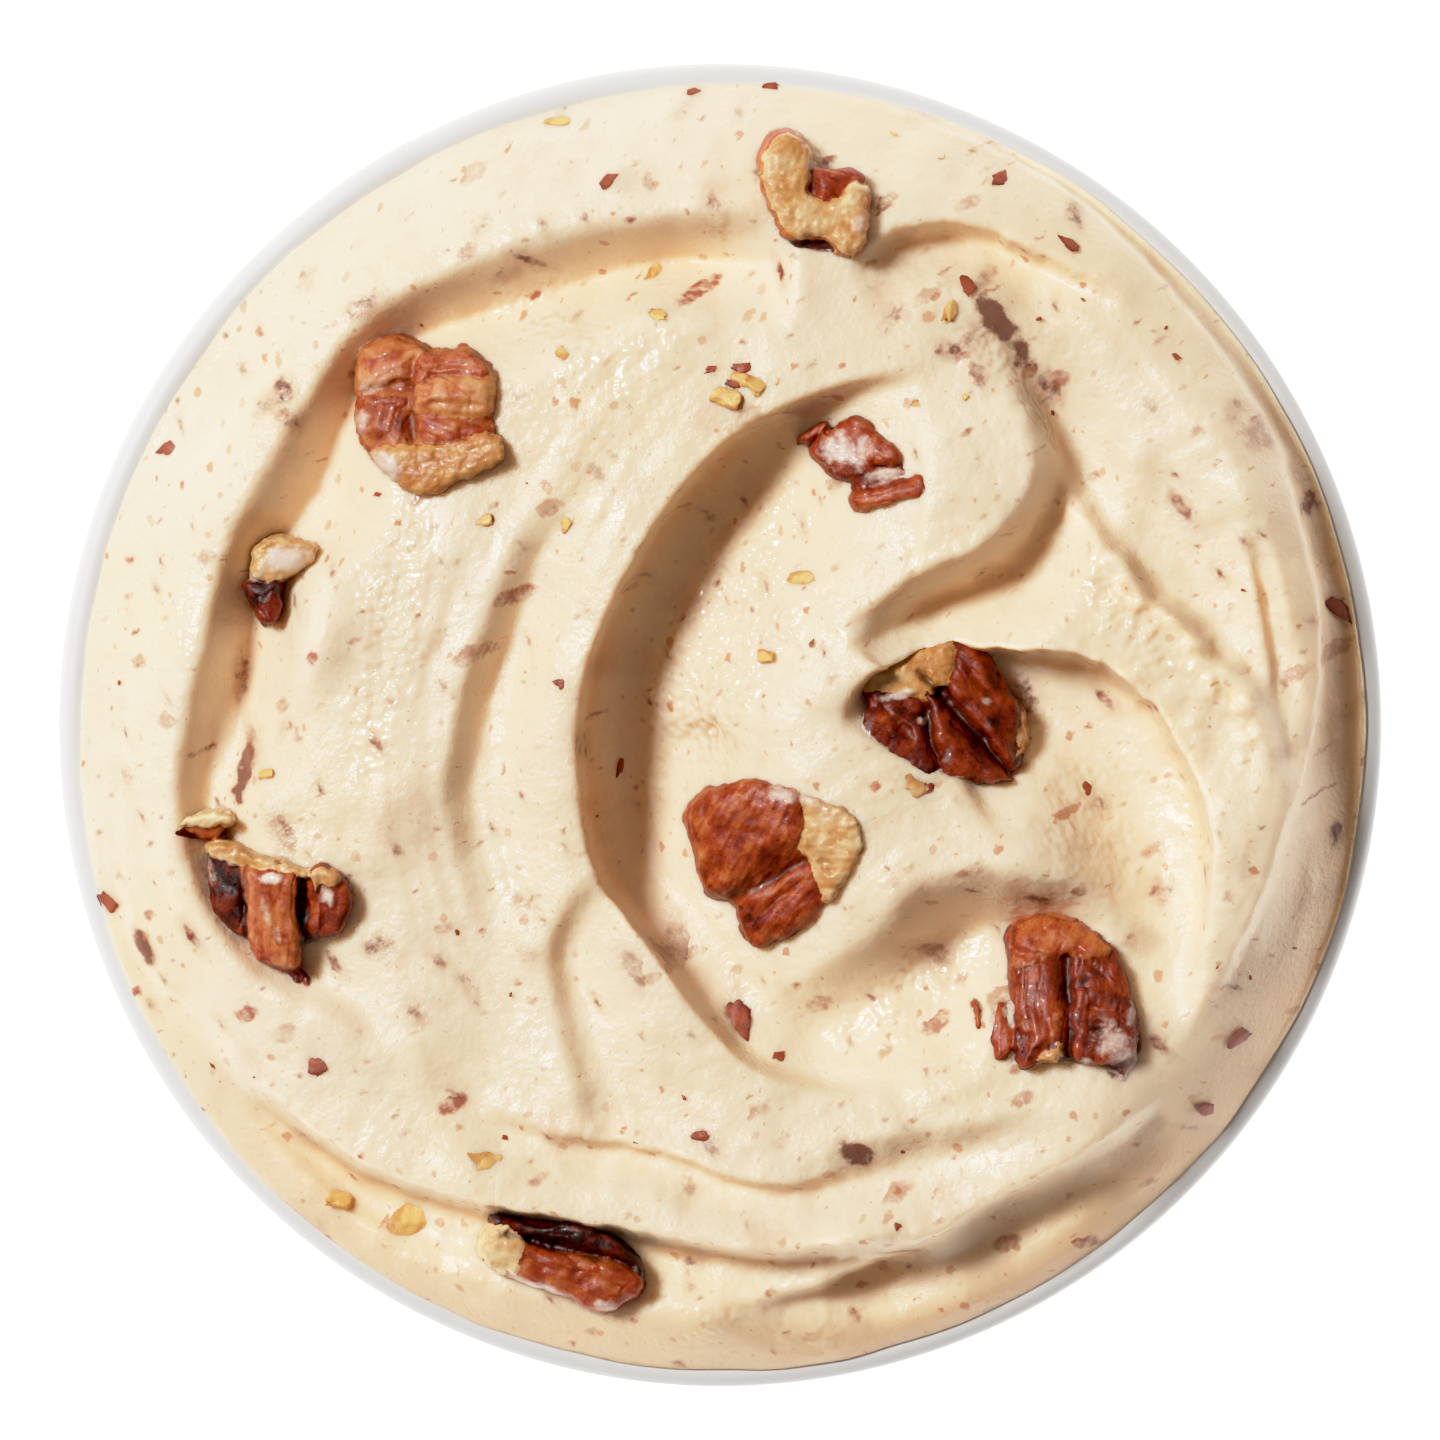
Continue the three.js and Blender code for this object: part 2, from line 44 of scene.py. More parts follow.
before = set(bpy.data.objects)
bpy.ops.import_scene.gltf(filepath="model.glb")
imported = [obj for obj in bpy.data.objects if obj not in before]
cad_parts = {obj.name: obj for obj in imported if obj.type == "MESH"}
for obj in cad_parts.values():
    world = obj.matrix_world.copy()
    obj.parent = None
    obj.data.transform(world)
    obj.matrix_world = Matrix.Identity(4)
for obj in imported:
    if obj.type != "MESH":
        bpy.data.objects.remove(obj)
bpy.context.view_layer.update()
TUB_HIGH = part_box("paper_tub")[1]
CREAM_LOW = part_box("ice_cream")[0]

# Pieces are modelled with one unit to the millimetre and made metres when they are finished
MM = 0.001
RIM_RADIUS, RIM_TOP = TUB_HIGH.x / MM, TUB_HIGH.z / MM
SLOTS = {"tub": "paper", "cream": "ice_cream", "pecan": "pecan"}

# Spoon strokes in mm. Each follows its crest line, path. On the hollow side the surface falls by
# depth over wall and climbs back by tail. A rounded lip stands along the crest, out wide on the
# outer side and inn wide on the hollow side. The stroke fades in over start and out over end. side
# is 1 where the hollow lies to the left of the way that the line runs, and -1 where it lies to the
# right. rough is how far the crest wanders to and fro, uneven by what share its depth and width
# come and go along it, and curl how far the lip leans over the hollow. base makes the wall round
# at its top and sharp at its foot. share of the fall is spread over the width spread, usually three
# walls, instead of the wall. crumbs is the height of the small lumps along the crest. rim is the
# distance from the rim over which a hollow fades out.
USUAL_STROKE = dict(curl=0, base=0, share=0.28, crumbs=0, rim=4)
STROKES = {
    "collar_wall": dict(
        side=1, depth=5.4, wall=3.6, tail=9.5, lip=1.0, out=5.0, inn=2.0, start=6, end=16, rough=0.08,
        uneven=0.2, base=0.3,
        path=[(6.5, 36.8), (-2, 37.2), (-14, 34.9), (-25.5, 30), (-31.3, 22), (-35.9, 13.5), (-38, 4),
            (-38.7, -3), (-38.4, -9)]),
    "nut_fold": dict(
        side=1, depth=3.4, wall=2.4, tail=7.0, lip=0.7, out=3.4, inn=1.2, start=13, end=16, rough=0.05,
        uneven=0.15, base=0.3,
        path=[(-37.8, 8), (-39, 2), (-39.6, -5), (-38.3, -12), (-33.8, -18.4), (-27.6, -22.2),
            (-24.3, -28)]),
    "big_scoop": dict(
        side=1, depth=7.9, wall=1.7, tail=18, lip=1.5, out=5.0, inn=0.7, start=27, end=46, rough=0.1,
        uneven=0.05, curl=0.7,
        path=[(20, 24.9), (14, 25.9), (6, 24.1), (-0.6, 20.6), (-6.2, 13.6), (-10.2, 5), (-11.1, -2.2),
            (-9.9, -10.4), (-6, -16), (-2, -21.2), (2.2, -25.2), (9.5, -27.1), (22, -27.2)]),
    "soft_valley": dict(
        side=1, depth=2.9, wall=2.3, tail=8.0, lip=0.7, out=4.5, inn=1.4, start=16, end=14, rough=0.1,
        uneven=0.25, base=0.3,
        path=[(-11, 20), (-15.2, 12.5), (-18.4, 4), (-20.3, -5), (-18.6, -13), (-17.5, -18)]),
    "lobe_edge": dict(
        side=1, depth=6.2, wall=2.2, tail=8.0, lip=1.8, out=7.0, inn=1.9, start=24, end=12, rough=0.05,
        uneven=0.1, base=0.35,
        path=[(13, 28.2), (19.6, 24.6), (22.2, 18.6), (19.2, 13.6), (13.2, 10.7), (8.4, 7), (7.4, 4)]),
    "hood": dict(
        side=-1, depth=7.6, wall=1.2, tail=16, lip=1.2, out=3.4, inn=0.5, start=8, end=22, rough=0.22,
        uneven=0.05, curl=0.45, share=0.45, spread=8, crumbs=0.35,
        path=[(7.6, -1.4), (9.8, 3.4), (12.5, 5), (16, 6.4), (20, 6.1), (26, 5.6), (30.4, 3),
            (33.8, -1.6), (35.8, -7.4), (35.4, -14), (33.8, -22), (32.6, -26)]),
    "crumbly_ridge": dict(
        side=1, depth=2.5, wall=1.7, tail=12.0, lip=1.2, out=2.2, inn=0.7, start=26, end=12, rough=0.35,
        uneven=0.3, crumbs=1.0,
        path=[(17, 30.4), (19.6, 26), (23.4, 19.4), (26.8, 13.8), (30.6, 9), (34.4, 5.2), (38.4, 0.5),
            (39.4, -7)]),
    "right_crest": dict(
        side=1, depth=0, wall=1, tail=2, lip=1.5, out=3.4, inn=3.4, start=18, end=20, rough=0.1, uneven=0,
        path=[(28, 29), (36, 20), (40.2, 8), (41, -2), (38.6, -12), (34.4, -23), (31.5, -29)]),
    "top_right_groove": dict(
        side=-1, depth=2.7, wall=1.4, tail=7.0, lip=0.7, out=3.4, inn=0.7, start=6, end=14, rough=0.2,
        uneven=0.25, curl=0.2, base=0.2,
        path=[(8, 32.4), (13, 36.2), (18, 36.4), (25, 33.6), (33, 29)]),
    "overlap_edge": dict(
        side=1, depth=3.1, wall=0.9, tail=12, lip=1.1, out=4.5, inn=0.4, start=30, end=34, rough=0.12,
        uneven=0.05, curl=0.15, rim=0.4,
        path=[(-3, 46.9), (6, 46.2), (16, 43.2), (26, 37.6), (33.4, 30), (39.3, 21.6), (40.9, 16.8),
            (42.5, 10.9), (43, 4.3), (42.3, -1.4), (40.4, -7.6), (37.8, -14.2), (34.6, -20.4),
            (29.5, -28.5)]),
    "right_groove": dict(
        side=1, depth=1.35, wall=1.0, tail=2.8, lip=0.3, out=1.6, inn=0.5, start=9, end=7, rough=0.1,
        uneven=0.2,
        path=[(36.8, 17), (38.7, 8), (39.6, 1), (40.2, -4), (39.6, -7)]),
    "lower_hollow": dict(
        side=-1, depth=6.2, wall=4.4, tail=12.5, lip=1.2, out=3.8, inn=1.6, start=18, end=10, rough=0.1,
        uneven=0.15,
        path=[(-1, -20.6), (4, -18.6), (10, -15.3), (15, -11.2), (22, -10.4), (27.6, -12.8), (30, -20)]),
    "low_rib": dict(
        side=-1, depth=4.4, wall=1.6, tail=7.5, lip=1.7, out=4.2, inn=0.9, start=20, end=10, rough=0.2,
        uneven=0.2, curl=0.45, base=0.3,
        path=[(-40, -20.5), (-33.2, -25.4), (-26, -30.6), (-18, -33.5), (-8, -35.4), (2, -37),
            (9.4, -36.5), (17, -35)]),
    "low_right_edge": dict(
        side=-1, depth=3.0, wall=1.3, tail=20, lip=1.5, out=3.0, inn=0.6, start=14, end=14, rough=0.2,
        uneven=0.1, curl=0.4, share=0.3, spread=4, crumbs=0.25, rim=5,
        path=[(-3, -42.2), (4.5, -40.6), (11, -37.9), (15.4, -36.2), (20, -33.4), (26, -30.3),
            (34.5, -24.5)]),
    "left_fold": dict(
        side=1, depth=1.5, wall=2.0, tail=6.6, lip=0.5, out=3.0, inn=1.4, start=8, end=6, rough=0.1,
        uneven=0.25,
        path=[(-9.6, -9), (-12.6, -16), (-11.8, -22), (-10.2, -28.5), (-9, -31.5)]),
    "low_crease": dict(
        side=-1, depth=2.0, wall=1.3, tail=5.6, lip=0.7, out=3.4, inn=0.7, start=14, end=13, rough=0.2,
        uneven=0.3, curl=0.2, crumbs=0.2,
        path=[(-20, -25), (-13, -28.6), (-4, -30.2), (4, -32.6), (16, -30)]),
    "low_step": dict(
        side=-1, depth=2.2, wall=2.2, tail=8.0, lip=0.5, out=3.0, inn=1.4, start=11, end=11, rough=0.15,
        uneven=0.2,
        path=[(3, -30.4), (12, -29.4), (20, -27.8), (28, -26)]),
    "outer_low_fold": dict(
        side=-1, depth=1.5, wall=1.3, tail=6.0, lip=0.6, out=2.4, inn=1.0, start=11, end=8, rough=0.1,
        uneven=0.2,
        path=[(-43.4, -7), (-41.3, -17), (-35, -23), (-32, -26.4)]),
}
STROKE_STEP = 0.7
OUTLINE_STEP = 0.35

# Soft swellings and dents between the strokes: x, y, half length, half width, turn in degrees, height
SWELLINGS = [
    (-28.6, 6.3, 3.3, 2.3, 80, 1.3), (-26, -6, 5, 5, 0, 0.4), (-4.5, 31, 5, 5, 0, 0.5),
    (38.2, -7, 4, 3, 70, 0.7), (8.5, 3.5, 6, 6, 0, 0.9), (8, -6, 8, 8, 0, 1.6), (-15, -3, 5, 5, 0, 0.5),
    (22, -8, 5, 5, 0, 0.9), (13, 19, 6, 6, 0, 1.4), (32, -17, 4, 4, 0, -0.8), (30, -36, 7, 7, 0, -0.6),
    (20, -35.5, 4, 4, 0, -0.8), (0, -41.3, 4, 4, 0, 0.9), (7, -40, 4, 4, 0, 0.9),
    (-24, 22, 6, 6, 0, -0.6), (29, 20, 6, 6, 0, -0.5), (3, 15, 6, 6, 0, -0.4),
    (-20.5, 26.5, 5, 2, 25, 0.5), (-27, -9.5, 4.5, 1.2, -5, 0.35), (5.7, 31.6, 1.3, 3, 12, 0.4),
    (22.5, -12.5, 4, 2.4, 20, 0.7), (-8.5, 33.2, 8.5, 2.6, 14, -1.2), (-9.5, -25, 2.4, 3.2, 10, 0.8),
    (-26.5, -20.5, 6, 2, -38, 0.6), (4.2, -10, 4, 4, 0, -1.2), (25, -29, 9, 3.5, 28, 0.8),
]

# Patches with a wet surface: x, y, half length, half width, turn in degrees, strength
WET_PATCHES = [
    (-23.7, 7, 10.5, 3.0, 82, 1.0), (-0.6, 5, 13, 4.8, 62, 1.0), (0.5, -5, 7, 4, 70, 0.6),
    (-13.5, 28, 4.5, 2, 20, 0.6), (-7, 27, 8, 4, 15, 0.5), (15, -19, 9, 4, 25, 0.6),
    (27, -8, 7, 6, 70, 0.6), (8, -43, 13, 2, 5, 0.4), (-40, 20, 10, 2.5, 62, 0.35),
    (-13.8, 31, 3, 1, 20, 0.8), (28, 9, 9, 1.9, -48, 0.9), (20, 26, 8, 1.6, -55, 0.7),
    (-28.5, -10.5, 4, 1.6, -5, 0.6), (14, -3, 4, 2, 0, 0.5),
]

# Crumbs that lie just under the surface and show as blurred stains: x, y, half length, half width,
# turn in degrees, depth of colour
STAINS = [
    (9.8, -30.8, 1.7, 1.1, -35, 0.9), (19, 11, 1.3, 0.8, 20, 0.5), (19.9, 29.4, 2.3, 1.1, -50, 0.9),
    (21.8, 26.6, 1.9, 1.0, -60, 0.85), (23.7, 24.3, 1.5, 0.9, -60, 0.8), (16.3, 26.8, 1.2, 0.8, -60, 0.6),
    (31.8, -12, 1.4, 1.0, 70, 0.6), (-41.5, -16.3, 1.7, 0.7, -65, 0.9), (-32, 23.6, 1.9, 1.3, 60, 0.7),
    (-31, 21.8, 1.2, 0.9, 30, 0.6), (-24.5, -16, 1.6, 1.0, -20, 0.6), (-18, -19, 1.6, 0.8, -65, 0.5),
    (-14, -16.5, 1.4, 0.8, -40, 0.45), (-21.5, -21.3, 1.0, 0.8, 0, 0.5), (37, 22.7, 1.2, 0.9, 70, 0.6),
    (42.6, 16.2, 1.1, 0.7, 80, 0.8), (44.6, -7.8, 1.2, 0.7, 75, 0.8), (-2, -38.5, 1.3, 0.8, 10, 0.5),
    (28.8, -23.6, 2.4, 1.3, 60, 0.9), (13, 29.5, 1.0, 0.8, 0, 0.45), (-34.3, -3.2, 2.6, 0.7, 72, 1.0),
    (-34.6, 3.5, 2.8, 0.8, 88, 0.6), (1.4, -20.8, 2.0, 1.0, -80, 0.5), (-30.3, -29.8, 1.5, 0.8, -20, 0.4),
    (-25.7, 30.2, 2.2, 0.9, 25, 0.7), (-9, 4, 1.4, 1.2, 0, 0.4), (-10.2, -1.5, 1.2, 1.6, 0, 0.55),
    (-15.5, 32.4, 1.6, 0.6, 15, 0.5), (18.8, -10.5, 1.2, 0.8, 0, 0.5), (22.6, -12.6, 1.5, 0.7, -10, 0.6),
    (30.6, -15.6, 1.5, 1.2, 0, 0.5), (-7, 39.4, 1.3, 0.9, 0, 0.4), (25.6, 36.9, 1.4, 0.7, -60, 0.6),
]

Lobe = namedtuple("Lobe", "kind height slope tone lines outline")


def skinned(height, tone, lines, outline, slope=(0, 0)):
    """A lobe with its skin on; lines is the way of the skin's fine lines in degrees."""
    return Lobe("skin", height, slope, tone, lines, outline)


def broken(height, tone, outline, slope=(0, 0)):
    """A broken face of pale flesh."""
    return Lobe("flesh", height, slope, tone, 0, outline)


# Pecan pieces in mm. Each stands at x, y, with its level rise above the cream there. A piece is
# made of lobes: height over the level, tone from 0 for black-brown to 1 for tan, slopes along x and
# y, and the outline seen from above, counted from the piece's middle. Where lobes meet, their round
# edges leave a groove. creases are narrow grooves: both ends, width, depth. films are patches of
# cream on the nut: x, y, half length, half width, turn in degrees, thickness. round is the width
# and drop of the skin's rounded edges. wrinkled and lined are how deep its wrinkles and how strong
# the colour of its fine lines are, where they aren't 1.
PECANS = {
    "pecan_upper_left": dict(
        x=-21, y=22.3, rise=0.1, round=(1.7, 0.75),
        lobes=[
            skinned(1.9, 0.62, 20, outline=[(-5, 4), (-3.5, 5.4), (-1.5, 5.2), (0.4, 4.4), (2.6, 4.5),
                (4.6, 3), (4.8, 0), (4.8, -2.6), (2.6, -4.4), (0, -5.4), (-2, -4.8), (-3.8, -3),
                (-4.9, -0.4), (-4.8, 2)]),
            skinned(2.2, 0.74, 20, outline=[(-5, 4.1), (-4, 5.3), (-2, 5.5), (-0.3, 4.5), (-0.9, 2.5),
                (-2, 1.9), (-4.8, 1.6)]),
            skinned(2.7, 0.6, 10, outline=[(-0.7, 4.2), (1, 4.3), (2.6, 4.6), (4.4, 3.2), (4, 2.7),
                (1.2, 2.7), (-0.8, 2.2)]),
            skinned(2.9, 0.82, -10, slope=(-0.1, 0.08), outline=[(-1, 1.9), (0.9, 2.9), (4.2, 3), (4.8, 2.6),
                (4.8, 0.3), (4.2, -0.4), (2.4, -0.3), (0, 0), (-1.2, 0.4)]),
            skinned(2.5, 0.52, -20, slope=(-0.05, 0.15), outline=[(-0.6, 0.1), (2.2, -0.3), (4.3, -0.6),
                (4.3, -1.3), (2.6, -2), (0.5, -2.4), (-0.7, -1.8)]),
            skinned(2.3, 0.5, 75, slope=(0.08, 0.05), outline=[(-4.8, 1.7), (-2.2, 2), (-1.2, 1.6),
                (-1.3, -0.2), (-1, -2), (-2.5, -2.6), (-4, -2.3), (-4.8, -1), (-4.5, 0)]),
            broken(2.9, 0.36, slope=(0, 0.2), outline=[(-3.9, -2.4), (-1, -2.1), (1.5, -2.2), (4.2, -1.2),
                (5.2, -1.8), (5.1, -3.3), (2.9, -4.4), (0.5, -5.6), (-1.2, -5.5), (-3.4, -3.7)])],
        creases=[(-4.6, 1.7, -1.2, 2.3, 0.3, 0.33), (0.2, 0.9, 3.8, 0.6, 0.25, 0.22),
            (-1.2, 2.2, -1.1, -2, 0.35, 0.44), (0.6, -2.9, 3.6, -2.4, 0.25, 0.19),
            (1.1, 3.7, 3.4, 3.5, 0.2, 0.17)],
        films=[(-4.3, 2.1, 1.6, 0.7, 10, 0.5), (-3, -3.7, 1.9, 1, -35, 0.9),
            (-4.9, -0.4, 0.8, 1.2, 0, 0.7)]),
    "pecan_top": dict(
        x=7, y=38, rise=0.2,
        lobes=[
            skinned(2.1, 0.7, 60, outline=[(-4.12, 2.41), (-3.53, 4.06), (-2.39, 4.78), (-1.15, 4.09),
                (-0.54, 2.4), (-0.64, 0.34), (0.49, -0.47), (1.8, -0.08), (2.78, 0.98), (3.6, 0.44),
                (3.79, -1.46), (3.45, -3.33), (2.81, -4.36), (1.78, -4.28), (0.85, -3.29), (-0.22, -3.0),
                (-2.02, -2.86), (-2.77, -1.9), (-3.6, -0.19)]),
            broken(2.45, 0.6, outline=[(-3.95, 2.3), (-3.4, 3.9), (-2.3, 4.6), (-1.1, 3.9), (-0.5, 2.2),
                (-0.5, 0.2), (0.3, -0.4), (1.6, -0.1), (2.6, 0.9), (3.4, 0.4), (3.6, -1.4), (3.3, -3.2),
                (2.7, -4.2), (1.7, -4.1), (0.8, -3.1), (-0.2, -2.8), (-1.9, -2.7), (-2.6, -1.8),
                (-3.4, -0.2)]),
            skinned(2.3, 0.42, -20, slope=(-0.1, -0.1), outline=[(-0.5, 2), (0.5, 1.9), (2.3, 1.95),
                (3.2, 1.2), (2.4, 0.8), (1.4, -0.2), (0.3, -0.5), (-0.5, 0.4)]),
            skinned(0.7, 0.05, 0, outline=[(-2, -2.9), (0, -2.8), (1.1, -3.5), (1.4, -4.2), (0, -4),
                (-1.2, -3.7)])],
        creases=[(-0.45, 2.6, -0.2, 0.2, 0.3, 0.44), (-3, 3.3, -1.2, 3.1, 0.2, 0.08),
            (-3.4, 1.2, -0.9, 1.6, 0.25, 0.08)],
        films=[(2.9, -1.8, 1.3, 0.5, 80, 0.7), (-2.4, 2.8, 0.9, 0.5, 30, 0.3)]),
    "pecan_centre": dict(
        x=4.2, y=-10, rise=-0.85, wrinkled=0.4, lined=3, round=(1.9, 0.9),
        lobes=[
            skinned(2.7, 0.42, 50, outline=[(-6, 3), (-5, 5), (-2, 5.8), (2, 5.2), (4.5, 4), (5.8, 2.6),
                (5.6, 0.6), (4, -2.2), (3.4, -3), (1.5, -4.8), (-1, -5.8), (-2.4, -5), (-3, -3),
                (-4.8, -2), (-5.7, 0)]),
            skinned(3.45, 0.5, 62, slope=(0.05, 0.05), outline=[(-6.3, 3.2), (-5.2, 4.9), (-3.6, 5.6),
                (-2, 5.9), (0.2, 5.6), (1.6, 4.9), (2.1, 3), (1.4, 1.2), (0.2, 0.1), (-1.6, -1.1),
                (-2.8, -2.1), (-4.5, -2.2), (-5.4, -0.4), (-5.9, 1.4)]),
            skinned(2.8, 0.34, 40, slope=(-0.1, 0.12), outline=[(2.0, -0.2), (3.1, -1.5), (3.6, -2.6),
                (1.5, -4.6), (-0.4, -5.7), (-1.6, -5.95), (-2.6, -4.6), (-2.8, -3.2), (-1.6, -2.3),
                (0.2, -1.1)]),
            broken(3.3, 0.62, slope=(-0.06, 0), outline=[(1.2, 4.9), (2.6, 4.7), (4.2, 4.1), (5.6, 3),
                (5.9, 1.4), (5.2, -0.4), (4.2, -2), (3.3, -2.5), (2.6, -1), (2.1, 0.4), (1.3, 1.3),
                (1.6, 3)])],
        creases=[(-3.2, -2.5, 1.9, 0.3, 0.4, 0.5), (-2.2, -4.3, 1.6, -1.3, 0.2, 0.25),
            (2.3, 1.4, 3.8, -0.4, 0.3, 0.28), (1.9, 4.4, 2.2, 1.5, 0.25, 0.19)],
        films=[(0.2, 5.1, 2, 0.8, -5, 0.75), (2.2, 4.8, 1.1, 0.7, -30, 0.7),
            (3.2, 3.6, 1.2, 0.8, -40, 0.4)]),
    "pecan_under_hood": dict(
        x=16, y=0.8, rise=0.7, wrinkled=0.6,
        lobes=[
            skinned(2.0, 0.24, -45, outline=[(-6, 2.2), (-5, 3.4), (-2, 4.6), (0.6, 5.4), (2.8, 5.2), (4, 3),
                (5.4, 0.8), (5.7, -1.5), (5.1, -4.2), (3, -4.8), (0.6, -4.8), (-0.6, -6), (-2.6, -5.2),
                (-4.4, -3.6), (-5.6, -1.6), (-5.4, 0.4)]),
            broken(2.7, 0.5, slope=(0.12, 0.05), outline=[(-6.5, 2), (-5.6, 2.9), (-4, 3.9), (-2, 4.5),
                (-0.6, 4.9), (0.6, 5.5), (1, 4.2), (0.7, 2.7), (-0.6, 1.4), (-1.2, 1), (-2.6, 1.4),
                (-4.2, 1.6), (-5.9, 1.5)]),
            skinned(3.2, 0.3, -50, slope=(-0.12, 0), outline=[(0.7, 5.5), (1.4, 5.1), (2.6, 5.5), (3.1, 4.4),
                (3.8, 3.2), (4.2, 1.8), (5.4, 1), (5.6, -0.4), (5.2, -2), (4.9, -3.5), (3.2, -1.7),
                (1.5, 0.3), (0.5, 1.8), (0.9, 3.6)]),
            skinned(2.8, 0.27, -45, slope=(0, 0.05), outline=[(-1.3, 2.4), (-0.5, 1.4), (1, -0.4),
                (2.9, -2.7), (5, -4.7), (2.9, -4.7), (0.4, -4.3), (-0.2, -3), (-0.8, -1.6), (-0.8, 0)]),
            skinned(2.6, 0.22, 60, slope=(0.05, 0.05), outline=[(-5.6, 0.2), (-4, 0.6), (-2.4, 0.5),
                (-1.3, -0.6), (-1.1, -1.8), (-0.4, -3.4), (0.1, -5), (-0.5, -6.2), (-1.8, -6), (-2.8, -5),
                (-3.6, -4.4), (-4.4, -3.4), (-5.5, -2.6), (-5.9, -1.2)]),
            broken(2.7, 0.5, slope=(0, 0.05), outline=[(-2.9, -4.3), (-2.2, -4), (-1.3, -4.8),
                (-1.2, -5.9), (-1.9, -6), (-2.8, -5.1)]),
            broken(2.3, 0.65, slope=(-0.1, 0), outline=[(5.1, 1), (5.8, 0.3), (6, -1.6), (5.5, -3.4),
                (5, -3.2), (5.1, -1.6), (5.3, -0.3)])],
        creases=[(-1.7, 3, 0.4, 0.9, 0.3, 0.61), (0.4, 0.9, 4.9, -4.3, 0.35, 0.72),
            (-1.1, 0.2, -0.2, -4.6, 0.35, 0.5), (-4.4, 0.6, -2.2, -1.8, 0.3, 0.33),
            (1.2, 4.3, 3.6, 1.2, 0.3, 0.28)],
        films=[(-3.3, 1.3, 1.9, 0.45, 15, 1.0), (-1.5, -0.5, 0.5, 0.45, 0, 1.0),
            (-4, -3.9, 0.8, 0.9, 40, 0.7), (3.2, 1, 0.5, 0.4, 0, 0.5)]),
    "pecan_lower_right": dict(
        x=24.7, y=-19.6, rise=-0.3, round=(1.5, 0.7),
        lobes=[
            skinned(2.6, 0.3, 80, outline=[(-3.6, 4.6), (-1.8, 5.5), (0.4, 5.6), (2.8, 4.4), (4.2, 2),
                (5, -1), (5, -3.6), (3, -4.6), (0.4, -4.4), (-1.6, -4.6), (-3, -4.9), (-3.6, -2),
                (-3.7, 1)]),
            skinned(3.0, 0.42, 85, slope=(0.1, 0), outline=[(-3.5, 4.2), (-2.2, 4.7), (-0.8, 4.1),
                (-0.1, 2.6), (0.15, 0), (0, -3), (-0.6, -3.6), (-1.4, -4.2), (-2.9, -5), (-3.3, -3),
                (-3.7, 0)]),
            skinned(2.85, 0.62, 60, slope=(0, 0.02), outline=[(-3.6, 2.4), (-3.4, 4.8), (-2, 5.6), (0, 5.7),
                (1.6, 5.2), (2.9, 4.2), (3.3, 3.2), (1.8, 2.2), (0.4, 2.6), (-1, 1.6), (-2.4, 1.2)]),
            skinned(2.8, 0.36, 20, slope=(-0.1, 0), outline=[(0.6, 2.6), (1.6, 3.4), (2.9, 4.2), (3.8, 3),
                (4.2, 1.6), (4.8, 0.2), (5.2, -1.6), (5, -3.4), (3.6, -4.3), (1.4, -4.5), (0.9, -3),
                (0.7, 0)]),
            broken(3.0, 0.6, slope=(0.1, 0.1), outline=[(-2.3, -4.5), (-1.2, -3.3), (-0.2, -2.7),
                (-0.1, -4.3), (-1.2, -4.6)]),
            skinned(1.3, 0.3, 0, slope=(-0.1, 0.1), outline=[(2.4, -3.2), (4.8, -2), (5.6, -3.4),
                (5.2, -5.2), (4.1, -6.2), (3, -5.4), (2, -4.4)]),
            skinned(2.5, 0.48, 80, slope=(0.2, 0), outline=[(-5.2, -1.2), (-4.2, -0.2), (-3.8, -1.4),
                (-3.6, -3.2), (-4.4, -4.4), (-5.2, -4.1)]),
            skinned(0.7, 0.5, 85, outline=[(-6.45, -0.4), (-6.05, -0.6), (-5.95, -2.1), (-6.3, -2)])],
        creases=[(0.2, 2.8, 0.4, -4.4, 0.4, 0.72), (-3.4, 3.3, -0.4, 2.6, 0.2, 0.17),
            (1, 3.4, 3.4, 1, 0.25, 0.22), (1.1, -0.6, 4.4, -1, 0.2, 0.19),
            (1.1, -1.8, 4.6, -2.2, 0.2, 0.19), (1, 0.8, 4, 0.7, 0.2, 0.17),
            (1.2, -3, 4.2, -3.4, 0.2, 0.17)],
        films=[(4, -3.8, 2.4, 1.5, -70, 0.75), (4.9, -1, 1.6, 0.5, 80, 0.6),
            (1.6, -4.5, 0.5, 0.4, 0, 0.7)]),
    "pecan_left": dict(
        x=-31.8, y=-12.6, rise=0.1,
        lobes=[
            skinned(1.8, 0.1, 85, outline=[(-4.8, 3.4), (-2, 2.8), (2, 2), (4.6, 1.6), (5, -1), (3.6, -2.4),
                (1.6, -3.6), (0.8, -4.8), (-0.8, -4.4), (-2.2, -2.6), (-4.4, -1.4), (-4.8, 1)]),
            broken(2.6, 0.65, slope=(0, 0.1), outline=[(-4.9, 3.9), (-3.4, 4), (-1.4, 3.1), (2.4, 2.1),
                (2.1, 1.7), (0.6, 1.9), (-1, 2), (-2.6, 2.5), (-4.6, 3.1)]),
            skinned(2.1, 0.2, 85, slope=(0.1, 0), outline=[(-4.9, 3.3), (-3.4, 3), (-2.6, 2.4), (-2.4, 0.4),
                (-2.2, -2.5), (-3.4, -2.2), (-4.6, -1), (-4.9, 0.8)]),
            skinned(3.3, 0.66, 85, slope=(0.05, 0.05), outline=[(-2.6, 2.5), (-1.4, 2.2), (-0.4, 2.2),
                (1.2, 1.8), (1.2, -0.6), (1.5, -3), (1.3, -4.9), (0, -4.9), (-1.6, -4), (-2.2, -2.4),
                (-2.2, 0)]),
            skinned(0.9, 0.05, 0, outline=[(1.2, 1.9), (2.4, 2), (2.5, -2.4), (1.4, -2.7)]),
            skinned(2.7, 0.38, 80, slope=(-0.1, 0), outline=[(2.3, 2.1), (3.8, 2.3), (4.6, 1.6), (5.2, 0),
